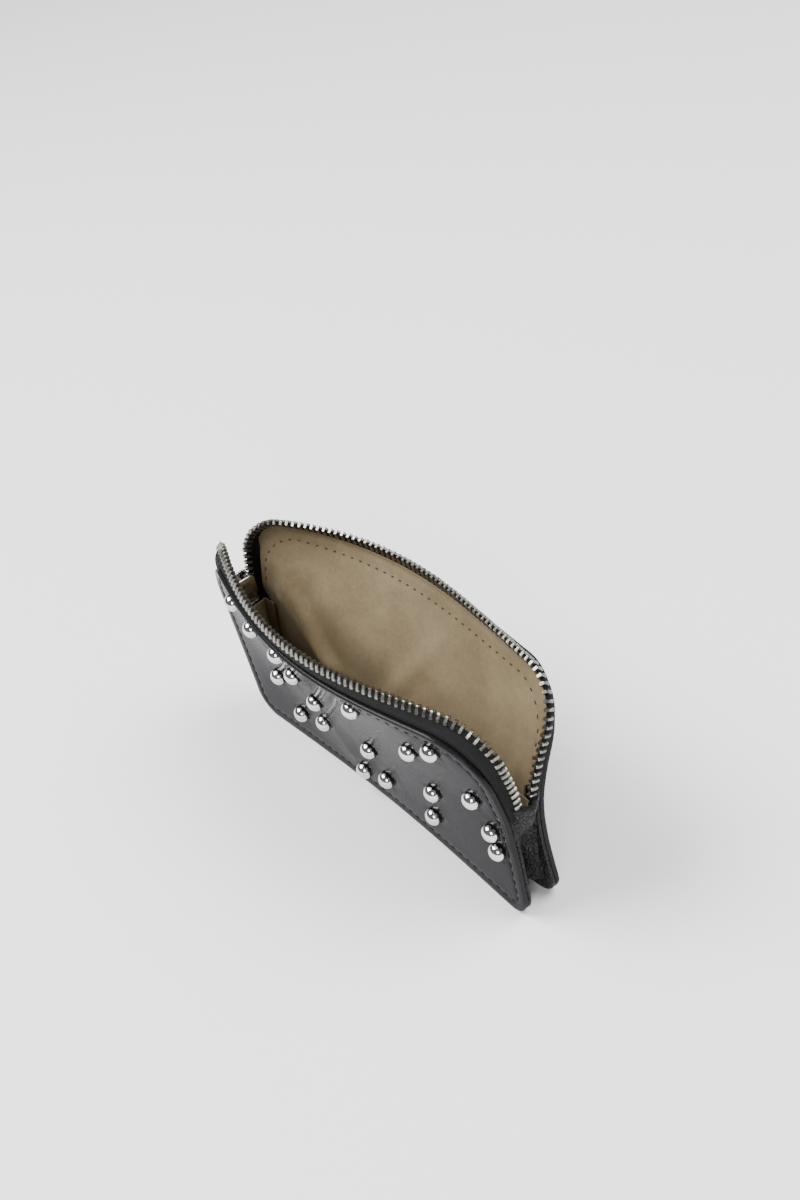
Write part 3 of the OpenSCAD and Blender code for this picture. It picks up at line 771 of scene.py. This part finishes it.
def toothPlaces(wall):
    # evenly spaced teeth: the row's running length is inverted to find each tooth's place
    run, s = rowRun(wall)
    count = int((run[-1] - 2 * zipLook["end"]) // zipLook["pitch"])
    start = (run[-1] - (count - 1) * zipLook["pitch"]) / 2 + 0.4
    return np.interp(start + np.arange(count) * zipLook["pitch"], run, s)


def axesAt(s, wall):
    along = unit(toothRow(np.minimum(s + 0.6, mouthLength), wall)
                 - toothRow(np.maximum(s - 0.6, 0), wall))
    across = tapePoint(s, pouch["tape"], wall) - tapePoint(s, pouch["tape"] * 0.6, wall)
    across = unit(across - along * (across * along).sum(-1, keepdims=True))
    return np.stack([along, across, np.cross(along, across)], -1)


def toothShape():
    # a bar lofted across the tape: square jaws on the cord, then a waist and a rounded head
    stations = [(-1.12, 0.40, 0.86), (-1.02, 0.52, 1.0), (-0.1, 0.54, 1.0), (0.35, 0.47, 0.84),
                (0.8, 0.5, 0.86), (1.08, 0.4, 0.66)]
    angle = np.radians(22.5 + 45 * np.arange(8))
    rings = np.array([[(a * np.sign(np.cos(g)) * abs(np.cos(g)) ** 0.55, w,
                        b * np.sign(np.sin(g)) * abs(np.sin(g)) ** 0.55) for g in angle]
                      for w, a, b in stations])
    faces = [list(f) for f in gridFaces(len(stations), 8, 0, wrap=True, flip=True)]
    last = 8 * (len(stations) - 1)
    return rings.reshape(-1, 3), faces + [list(range(8)), [last + j for j in range(7, -1, -1)]]


def splitEnds(s):
    middle = mouthLength / 2
    return {"Right": s <= middle + 1e-6, "Left": s >= middle - 1e-6}


def makeZip(wall, body):
    sign = wall["side"]
    steps = np.linspace(0, mouthLength, 401)
    v = np.concatenate([np.linspace(-zipLook["under"], 0, 7),
                        np.linspace(0, zipLook["cordAt"], 14)[1:]])
    whole = tapePoint(steps[:, None], v[None, :], wall)
    normal = gridNormals(whole)
    split = (np.abs(steps - mouthLength / 2) < 1e-6)[:, None] * np.ones(whole.shape[:2])
    for end, keep in splitEnds(steps).items():
        s, grid = steps[keep], whole[keep]
        uv = np.stack(np.broadcast_arrays(s[:, None] * mm, (v[None, :] + 6) * mm), -1)
        piece = thickSheet(body + "ZipTape" + end, grid, pouch["tapeThick"], zipTapeCloth, uv,
                           flip=sign > 0, normal=normal[keep], split=split[keep])
        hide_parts(body + "_zip_tape")
        followMouth(piece)

        centre = tapePoint(s, zipLook["cordAt"], wall)
        frames = axesAt(s, wall)
        g = np.linspace(0, 2 * np.pi, 13)[:-1]
        beat = 1 + 0.08 * np.sin(s * 2 * np.pi)[:, None, None]
        ring = centre[:, None, :] + zipLook["cord"] * beat * (
            np.cos(g)[None, :, None] * frames[:, None, :, 1]
            + np.sin(g)[None, :, None] * frames[:, None, :, 2])
        uv = np.stack(np.broadcast_arrays(s[:, None] * mm, g[None, :] * zipLook["cord"] * mm), -1)
        piece = sweep(body + "TapeCord" + end, ring, zipTapeCloth, uv, flip=True)
        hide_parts(body + "_tape_cord")
        followMouth(piece)

    place = toothPlaces(wall)
    points, faces = toothShape()
    rng = np.random.default_rng(7 if sign < 0 else 8)
    jitter = rng.normal(0, 1, (len(place), 3))
    for end, keep in splitEnds(place).items():
        keep = keep if end == "Right" else ~splitEnds(place)["Right"]
        s = place[keep]
        origins = toothRow(s, wall) + jitter[keep] * zipLook["jitter"]
        piece = repeated(body + "Teeth" + end, points, faces, origins, axesAt(s, wall), toothMetal,
                         smoothAngle=38)
        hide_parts(body + "_teeth")
        followMouth(piece)


makeZip(frontWall, "front")
makeZip(backWall, "back")

# linings
print("linings")
stitchLook = {"pitch": 3.1, "length": 2.35, "thick": 0.27, "inset": 3.0, "slant": 0.10,
              "liningLength": 1.3, "liningThick": 0.24}
liningLook = {"inset": 4.7, "depth": 2.05, "thick": 0.5, "rows": 96, "cols": 181, "over": 2.0}


def nearMouth(x, h):
    # the closest place on the line that the zip follows, and how far beyond it a point lies
    r = pouch["zipRadius"]
    dx, dh = np.abs(x) - (halfWidth - r), h - (pouch["height"] - r)
    corner = (dx > 0) & (dh > 0)
    beyond = np.where(corner, np.hypot(dx, dh) - r, np.maximum(dx, dh) - r)
    angle = np.arctan2(np.maximum(dh, 0), np.maximum(dx, 1e-6))
    s = np.where(corner, riseLength + r * angle,
                 np.where(dx > dh, h - pouch["gussetHeight"], riseLength + turnLength - dx))
    s = np.where(x > 0, s, mouthLength - s)
    return np.clip(s, 0, mouthLength), beyond


def liningPoint(x, h, wall, rise):
    # against the wall as far as its edge, then on up the inside of the zip tape
    s, beyond = nearMouth(x, h)
    n = inward(x, h, wall)
    depth = liningLook["depth"] + liningLook["thick"] / 2 + rise
    onWall = layer(x, h, wall, depth)
    frames = axesAt(s, wall)
    face = frames[..., 2] * np.sign((frames[..., 2] * n).sum(-1, keepdims=True))
    part = smooth(beyond / 1.6)[..., None]
    face = unit(n + (face - n) * part)
    offset = (depth - zipLook["depth"])[..., None]
    onTape = tapePoint(s, np.maximum(beyond, 0), wall) + face * offset
    return np.where(beyond[..., None] > 0, onTape, onWall)


def liningGrid():
    # rows from beside the gusset up to the teeth; the sides step out to the zip above its ends
    over = liningLook["over"]
    radius, top = pouch["zipRadius"] + over, pouch["height"] + over
    corner = np.linspace(0, np.pi / 2, 16)
    head = top - radius * (1 - np.sin(corner))
    h = np.concatenate([np.linspace(liningLook["inset"], head[0], liningLook["rows"] - 15)[:-1],
                        head])
    u = 2 * spaced(liningLook["cols"], 0.4) - 1

    def reach(start, climb, edge):
        step = smooth((h - start) / climb)
        w = halfWidth - (liningLook["inset"] + (edge - liningLook["inset"]) * step)
        up = np.maximum(h - top + radius, 0)
        return w - (radius - np.sqrt(np.maximum(radius ** 2 - up ** 2, 0)))

    right = reach(pouch["gussetHeight"] + 1.0, 5.0, -over)
    turnOut = smooth((h - 52.0) / 8.0)
    left = reach(pouch["gussetHeight"] + 0.5, 6.0, 1.4 - (1.4 + over) * turnOut)
    x = np.where(u[None, :] > 0, u[None, :] * right[:, None], u[None, :] * left[:, None])
    return x, np.broadcast_to(h[:, None], x.shape)


def liningRelief(x, h, wall):
    # height into the pouch: loose folds that hang from the left end, and waves that fade at
    # the seams; each fold is a ridge exp(-(distance / width)^2) along a slanted line
    loose = smooth((pouch["height"] - h - 6.0) / 14.0) * smooth((h - 13.0) / 13.0)
    loose = loose * smooth((halfWidth - 5 - np.abs(x)) / 7.0)
    folds = 0.0
    for px, ph, slope, width, size in liningFolds:
        bend = 2.0 * np.sin((x - px) / 9.0)
        across = ((h - ph) - slope * (x - px) + bend) / math.hypot(1, slope)
        away = np.exp(-((x - px) / 30.0) ** 2)
        folds = folds + size * away * np.exp(-(across / width) ** 2)
    waves = 0.22 * np.sin(x / 8.5 + 0.8 * np.sin(h / 9.0)) + 0.1 * np.sin(x / 3.7 - h / 5.0)
    return loose * (folds + waves + 0.3) * (1.0 if wall["side"] > 0 else 0.3)


# each fold: place along X, height, slope, width and size in millimetres
liningFolds = [(-32.0, 30.0, -0.55, 2.8, 1.6), (-24.0, 24.0, -0.8, 2.4, 1.3),
               (-44.0, 36.0, -0.35, 1.8, 1.1), (-6.0, 22.0, 1.6, 3.2, 1.2),
               (14.0, 26.0, -0.4, 5.5, 0.9), (34.0, 23.0, 0.7, 4.0, 0.9)]


def makeLining(wall, body, nodeName):
    x, h = liningGrid()
    rise = np.maximum(liningRelief(x, h, wall), 0)
    seam = distanceIn(x, h) - stitchLook["inset"]
    rise = rise - 0.12 * np.exp(-(seam / 0.6) ** 2) + 0.10 * np.exp(-((seam + 1.8) / 0.9) ** 2)
    middle = liningPoint(x, h, wall, rise)
    normal = gridNormals(middle)
    split = (np.arange(liningLook["cols"]) == liningLook["cols"] // 2)[None, :] * np.ones(x.shape)
    for end, cols in halves(liningLook["cols"]).items():
        piece = thickSheet(body + "Lining" + end, middle[:, cols], liningLook["thick"],
                           liningLeather, flip=wall["side"] < 0, normal=normal[:, cols],
                           split=split[:, cols])
        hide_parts(nodeName)
        followMouth(piece)


makeLining(frontWall, "front", "front_lining")
makeLining(backWall, "back", "back_lining")

makeGusset()   # made here, as its own lining takes its depth from liningLook

# studs
print("studs")
studLook = {"radius": 2.5, "height": 2.4, "postRadius": 0.85, "backRadius": 1.7}


def domeShape(segments=28, rings=11):
    # a spherical cap that turns down to a short upright wall, spun round its axis
    a = np.linspace(0, np.pi / 2, rings)[:-1]
    radius = np.concatenate([[0.0], studLook["radius"] * np.sin(a[1:]) ** 0.97,
                             [studLook["radius"], studLook["radius"] * 0.97]])
    curve = studLook["height"] * np.cos(a[1:]) ** 0.9 + 0.05
    height = np.concatenate([[studLook["height"]], curve, [0.12, -0.12]])
    g = np.linspace(0, 2 * np.pi, segments + 1)[:-1]
    rows = np.stack([radius[1:, None] * np.cos(g), radius[1:, None] * np.sin(g),
                     np.broadcast_to(height[1:, None], (len(radius) - 1, segments))], -1)
    points = np.concatenate([rows.reshape(-1, 3), [[0, 0, height[0]], [0, 0, -0.12]]])
    faces = [list(f) for f in gridFaces(len(rows), segments, 0, wrap=True, flip=True)]
    top, low = len(points) - 2, len(points) - 1
    last = (len(rows) - 1) * segments
    for j in range(segments):
        k = (j + 1) % segments
        faces += [[top, j, k], [low, last + k, last + j]]
    return points, faces


def studAxes():
    # at each stud: its place on the pouch, the way out of the leather and the way along it
    x, h = studPlaces[:, 0], studPlaces[:, 1]
    along = unit(skin(x + 0.3, h, frontWall) - skin(x - 0.3, h, frontWall))
    return x, h, -inward(x, h, frontWall), along


def makeStuds():
    points, faces = domeShape()
    x, h, n, u = studAxes()
    frames = np.stack([u, np.cross(n, u), n], -1)
    lift = leatherRelief(x, h, frontWall)
    origins = skin(x, h, frontWall) + n * (lift[:, None] + 0.05)
    for end, keep in (("Left", x < 0), ("Right", x >= 0)):
        piece = repeated("studDomes" + end, points, faces, origins[keep], frames[keep], studMetal,
                         smoothAngle=70)
        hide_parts("stud_domes")
        followMouth(piece)


makeStuds()


def roundSlab(outline, levels):
    # an outline stacked along its own axis: at each level its points move in along its normals
    along = np.roll(outline, -1, 0) - np.roll(outline, 1, 0)
    normal = np.stack([along[:, 1], -along[:, 0]], -1)
    normal /= np.linalg.norm(normal, axis=1, keepdims=True)
    return np.stack([np.concatenate([np.full((len(outline), 1), level),
                                     outline - normal * inset], 1) for level, inset in levels])


def bevelled(low, high, r):
    return [(low, r), (low + 0.29 * r, 0.29 * r), (low + r, 0.0), (high - r, 0.0),
            (high - 0.29 * r, 0.29 * r), (high, r)]


def makeStudFixings():
    g = np.linspace(0, 2 * np.pi, 21)[:-1]
    ring = np.stack([np.cos(g), np.sin(g)], -1)
    x, h, n, u = studAxes()
    frames = np.stack([n, u, np.cross(n, u)], -1)
    skinAt = skin(x, h, frontWall)
    parts = {"studPosts": (ring * studLook["postRadius"], -1.4, 1.0, "stud_posts"),
             "studBacks": (ring * studLook["backRadius"], -1.75, -1.36, "stud_backs")}
    for name, (outline, low, high, nodeName) in parts.items():
        rings = roundSlab(outline, bevelled(low, high, 0.1))
        faces = [list(f) for f in gridFaces(6, 20, 0, wrap=True)]
        faces += [list(range(19, -1, -1)), [100 + j for j in range(20)]]
        for end, keep in (("Left", x < 0), ("Right", x >= 0)):
            piece = repeated(name + end, rings.reshape(-1, 3), faces, skinAt[keep], frames[keep],
                             studMetal)
            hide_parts(nodeName)
            followMouth(piece)


makeStudFixings()

# slider and stops
print("slider")
sliderLook = {"length": 9.0, "width": 8.0, "inside": 1.65, "plate": 0.7, "fromEnd": 7.1,
              "archRise": 1.7, "archHalf": 2.2, "archWidth": 1.8, "tab": 17.0, "tabWidth": 5.4,
              "tabThick": 0.9}
sliderPlace = mouthLength - sliderLook["fromEnd"]


def rowsMiddle(s):
    return (toothRow(np.array([s]), frontWall)[0] + toothRow(np.array([s]), backWall)[0]) / 2


def sliderFrame():
    # X towards the inside of the pouch, Y towards the back, Z up along the rows
    origin, upper = rowsMiddle(sliderPlace), rowsMiddle(sliderPlace - 5)
    lower = rowsMiddle(sliderPlace + 5)
    origin[1] = 0.0
    up = unit(np.array([upper[0] - lower[0], 0.0, upper[2] - lower[2]]))
    return origin, np.stack([np.cross([0.0, 1.0, 0.0], up), [0.0, 1.0, 0.0], up], -1)


sliderOrigin, sliderAxes = sliderFrame()


def onSlider(points):
    return sliderOrigin + np.asarray(points, float) @ sliderAxes.T


def roundBlock(high, low, up, down, r, perCorner=7):
    # a rectangle with four equal rounded corners, given the centres of its corner arcs
    return roundOutline([(high, up, r, 0, 90), (low, up, r, 90, 180),
                         (low, down, r, 180, 270), (high, down, r, 270, 360)], perCorner)


def roundOutline(corners, perCorner=7):
    # a closed outline with each corner replaced by an arc: corner, radius, start and end angle
    points = []
    for y, z, r, first, last in corners:
        g = np.radians(np.linspace(first, last, perCorner))
        points.append(np.stack([y + r * np.cos(g), z + r * np.sin(g)], -1))
    return np.concatenate(points)


def finishSlider(piece, nodeName, body="slider"):
    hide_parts(nodeName)
    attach(piece, body)


def makeSlider():
    w, l = sliderLook["width"] / 2, sliderLook["length"] / 2
    r, narrow = 1.5, 0.6
    outline = roundOutline([(w - r, l - r, r, 0, 90), (-w + r, l - r, r, 90, 180),
                            (-w + r + narrow, -l + r, r, 180, 270),
                            (w - r - narrow, -l + r, r, 270, 360)])
    low, high = sliderLook["inside"], sliderLook["inside"] + sliderLook["plate"]
    for name, a, b in (("sliderPlateInside", low, high), ("sliderPlateOutside", -high, -low)):
        rings = roundSlab(outline, bevelled(a, b, 0.25))
        finishSlider(sweep(name, onSlider(rings), sliderMetal), "slider_body")
    post = np.array([(0.5, l - 0.5), (-0.5, l - 0.5), (-0.5, 2.5), (0.0, 1.4), (0.5, 2.5)])
    rings = roundSlab(post, [(-low - 0.05, 0.0), (0.0, 0.0), (low + 0.05, 0.0)])
    finishSlider(sweep("sliderPost", onSlider(rings), sliderMetal, smoothAngle=30), "slider_body")
    for side in (-1, 1):
        for face in (-1, 1):
            y, x = side * (w - 0.32), face * (low - 0.05)
            rail = roundBlock(y + 0.15, y - 0.15, l - 1.7, -l + 2.7, 0.14, 3)
            rings = roundSlab(rail, [(x - 0.15, 0.0), (x, 0.0), (x + 0.15, 0.0)])
            name = "sliderRail" + ("A" if side < 0 else "B") + ("Out" if face < 0 else "In")
            finishSlider(sweep(name, onSlider(rings), sliderMetal), "slider_body")


def makeArch():
    # a flat strap carried over a half ellipse in the slider's own X and Z
    g = np.linspace(-np.pi / 2, np.pi / 2, 25)
    out = sliderLook["inside"] + sliderLook["plate"]
    rise, half = sliderLook["archRise"] + 0.35, sliderLook["archHalf"]
    square = np.sign(np.cos(g)) * np.abs(np.cos(g)) ** 0.6
    line = np.stack([-out + 0.1 - rise * square, 0 * g, half * np.sin(g)], -1)
    along = unit(np.gradient(line, axis=0))
    side = np.array([0.0, 1.0, 0.0])
    through = np.cross(along, side)
    wide, thick = sliderLook["archWidth"] / 2, 0.35
    q = np.linspace(0, 2 * np.pi, 17)[:-1]
    a = np.sign(np.cos(q)) * np.abs(np.cos(q)) ** 0.4 * wide
    b = np.sign(np.sin(q)) * np.abs(np.sin(q)) ** 0.4 * thick
    rings = line[:, None, :] + a[None, :, None] * side + b[None, :, None] * through[:, None, :]
    finishSlider(sweep("sliderArch", onSlider(rings), sliderMetal), "slider_bridge")
    leaf = roundBlock(0.3, -0.3, 3.9, 2.8, 0.2, 3)
    rings = roundSlab(leaf, [(-out - 0.28, 0.05), (-out - 0.2, 0.0), (-out + 0.02, 0.0)])
    finishSlider(sweep("lockLeaf", onSlider(rings), sliderMetal), "lock_spring")


def makePullTab():
    # a plate with a window: the outer outline and the window carry the same number of points
    wide, length = sliderLook["tabWidth"] / 2, sliderLook["tab"]
    outer = roundOutline([(1.6, -0.25, 0.8, 0, 90), (-1.6, -0.25, 0.8, 90, 180),
                          (-wide + 0.9, -6.4, 0.9, 170, 190),
                          (0.0, -length + wide, wide, 180, 360),
                          (wide - 0.9, -6.4, 0.9, -10, 10)], 12)
    inner = roundOutline([(0.8, -1.05, 0.5, 0, 90), (-0.8, -1.05, 0.5, 90, 180),
                          (-0.9, -2.6, 0.4, 170, 190), (0.0, -2.6, 1.3, 180, 360),
                          (0.9, -2.6, 0.4, -10, 10)], 12)
    t = sliderLook["tabThick"] / 2
    bar = sliderLook["inside"] + sliderLook["plate"] + sliderLook["archRise"] / 2
    loops = [roundSlab(outer, [(t, 0.25), (t - 0.08, 0.08), (t - 0.25, 0.0), (0.25 - t, 0.0),
                               (0.08 - t, 0.08), (-t, 0.25)]),
             roundSlab(inner, [(-t, -0.25), (0.08 - t, -0.08), (0.25 - t, 0.0), (t - 0.25, 0.0),
                               (t - 0.08, -0.08), (t, -0.25)])]
    rings = np.concatenate(loops)
    rings = rings - np.array([bar, 0.0, 0.0])
    steps, around = rings.shape[:2]
    faces = gridFaces(steps, around, 0, wrap=True, flip=True)
    last = (steps - 1) * around + np.arange(around)
    first = np.arange(around)
    close = np.stack([last, np.roll(last, -1), np.roll(first, -1), first], -1)[:, ::-1]
    piece = addMesh("pullTabPlate", onSlider(rings.reshape(-1, 3)),
                    np.concatenate([faces, close]), sliderMetal, smoothAngle=40)
    finishSlider(piece, "pull_tab", "pull")


def makeStops():
    # small clamped blocks at the right end of each row, and one over both rows at the left
    block = roundBlock(-0.1, -0.85, 0.2, -0.2, 0.25, 5)
    rings = roundSlab(block, bevelled(-0.5, 0.5, 0.15))
    for wall, body in ((frontWall, "front"), (backWall, "back")):
        s = np.interp(0.9, *rowRun(wall))
        place = toothRow(np.array([s]), wall)[0]
        points = place + rings @ axesAt(np.array([s]), wall)[0].T
        piece = sweep(body + "TopStop", points, stopMetalPaintedShade)
        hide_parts(body + "_top_stop")
        followMouth(piece)
    block = roundBlock(1.7, -1.7, 0.5, -0.5, 0.4, 6)
    rings = roundSlab(block, bevelled(-1.4, 0.9, 0.3))
    rings[..., 2] -= sliderLook["length"] / 2 + 1.4
    piece = sweep("bottomStopClamp", onSlider(rings), stopMetalPaintedShade)
    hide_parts("bottom_stop")
    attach(piece, "root")


makeSlider()
makeArch()
makePullTab()
makeStops()

# stitching
print("stitching")


def stitchShape():
    # a small lozenge of thread: rings that swell from the hole, over, and back into the next
    t = np.linspace(-1, 1, 7)
    width = np.sqrt(np.clip(1 - np.abs(t) ** 2.6, 0, 1)) * 0.9 + 0.1
    rise = 0.5 * (1 - t ** 2) - 0.45
    g = np.linspace(0, 2 * np.pi, 7)[:-1]
    rings = np.stack([np.broadcast_to(t[:, None], (7, 6)), width[:, None] * np.cos(g),
                      width[:, None] * np.sin(g) + rise[:, None]], -1)
    faces = [list(f) for f in gridFaces(7, 6, 0, wrap=True)]
    faces += [list(range(5, -1, -1)), [36 + j for j in range(6)]]
    uv = np.stack([np.broadcast_to(t[:, None], (7, 6)), np.broadcast_to(g / 6.28, (7, 6))], -1)
    return rings.reshape(-1, 3), faces, uv.reshape(-1, 2)


def outlinePath(inset):
    # once round a panel's outline at an inset, anticlockwise from the middle of the base
    low, high = pouch["baseRadius"] - inset, pouch["topRadius"] - inset
    half, top = halfWidth - inset, pouch["height"] - inset
    quarter = np.linspace(0, np.pi / 2, 30)
    x = np.concatenate([[0], half - low + low * np.sin(quarter),
                        half - high + high * np.cos(quarter), [0]])
    h = np.concatenate([[inset], inset + low * (1 - np.cos(quarter)),
                        top - high * (1 - np.sin(quarter)), [top]])
    x, h = np.concatenate([x, -x[-2::-1]]), np.concatenate([h, h[-2::-1]])
    run = np.concatenate([[0], np.cumsum(np.hypot(np.diff(x), np.diff(h)))])
    count = int(run[-1] // stitchLook["pitch"])
    at = (np.arange(count) + 0.5) * run[-1] / count
    step = 0.4
    px, ph = np.interp(at, run, x), np.interp(at, run, h)
    dx = np.interp(at + step, run, x) - np.interp(at - step, run, x)
    dh = np.interp(at + step, run, h) - np.interp(at - step, run, h)
    size = np.hypot(dx, dh)
    return px, ph, dx / size, dh / size


def stitchRow(name, wall, line, depth, size, material, inner=False):
    # thread set along the wall, each stitch turned a little across the line
    px, ph, dx, dh = line
    length, thick = size
    slant = stitchLook["slant"]
    ex = dx * math.cos(slant) - dh * math.sin(slant)
    eh = dx * math.sin(slant) + dh * math.cos(slant)
    ex, eh = ex * 0.3, eh * 0.3
    along = unit(skin(px + ex, ph + eh, wall) - skin(px - ex, ph - eh, wall))
    out = inward(px, ph, wall) * (1 if inner else -1)
    across = np.cross(out, along)
    frames = np.stack([along, across, out], -1)
    origins = layer(px, ph, wall, depth)
    shape, faces, uv = stitchShape()
    scale = np.array([length / 2, thick, thick])
    for end, keep in (("Left", px < 0), ("Right", px >= 0)):
        if not keep.any():
            continue
        piece = repeated(name + end, shape * scale, faces, origins[keep], frames[keep],
                         material, uv)
        followMouth(piece)


def makeStitching():
    for wall, body in ((frontWall, "front"), (backWall, "back")):
        px, ph, dx, dh = outlinePath(stitchLook["inset"])
        depth = 0.02 - leatherRelief(px, ph, wall)
        high = standUp(px, ph, wall)
        stitchRow(body + "PanelThread", wall, (px, high, dx, dh), depth,
                  (stitchLook["length"], stitchLook["thick"]), blackThread)
        keep = ph > pouch["gussetHeight"] + 7
        px, ph, dx, dh = px[keep], ph[keep], dx[keep], dh[keep]
        rise = np.maximum(liningRelief(px, ph, wall), 0) - 0.12
        depth = liningLook["depth"] + liningLook["thick"] + rise + 0.03
        stitchRow(body + "LiningThread", wall, (px, ph, dx, dh), depth,
                  (stitchLook["liningLength"], stitchLook["liningThick"]), khakiThread,
                  inner=True)


makeStitching()

# floor and light: places and sizes in metres, power in watts, each light aimed at "aim"
print("studio")
studio = {"floor": 0.92, "floorHalf": 9.0, "sky": (0.93, 0.96, 1.0), "skyStrength": 0.22,
          "aim": (0, 0, 0.03)}
lights = {"keyPanel": ((-0.55, -0.5, 1.1), (0.9, 0.7), 34.0),
          "topPanel": ((0.5, 0.6, 1.3), (0.9, 0.9), 30.0),
          "sidePanel": ((0.95, -0.75, 0.75), (0.5, 0.6), 10.0)}
floorMaterial, _, floorShader = newMaterial("floor")
floorShader.inputs["Base Color"].default_value = (*grey(studio["floor"]), 1)
floorShader.inputs["Roughness"].default_value = 0.7
floorMesh = bpy.data.meshes.new("floor")
f = studio["floorHalf"]
floorMesh.from_pydata([(-f, -f, 0), (f, -f, 0), (f, f, 0), (-f, f, 0)], [], [(0, 1, 2, 3)])
floorMesh.materials.append(floorMaterial)
floor = bpy.data.objects.new("floor", floorMesh)
scene.collection.objects.link(floor)


def addLight(name, place, size, power):
    data = bpy.data.lights.new(name, "AREA")
    data.shape = "RECTANGLE"
    data.size, data.size_y = size
    data.energy = power
    light = bpy.data.objects.new(name, data)
    scene.collection.objects.link(light)
    light.location = place
    sight = Vector(studio["aim"]) - Vector(place)
    light.rotation_euler = sight.to_track_quat("-Z", "Y").to_euler()


world = bpy.data.worlds.new("studio")
scene.world = world
world.use_nodes = True
background = world.node_tree.nodes["Background"]
background.inputs[0].default_value = (*studio["sky"], 1)
background.inputs[1].default_value = studio["skyStrength"]
for lightName, settings in lights.items():
    addLight(lightName, *settings)
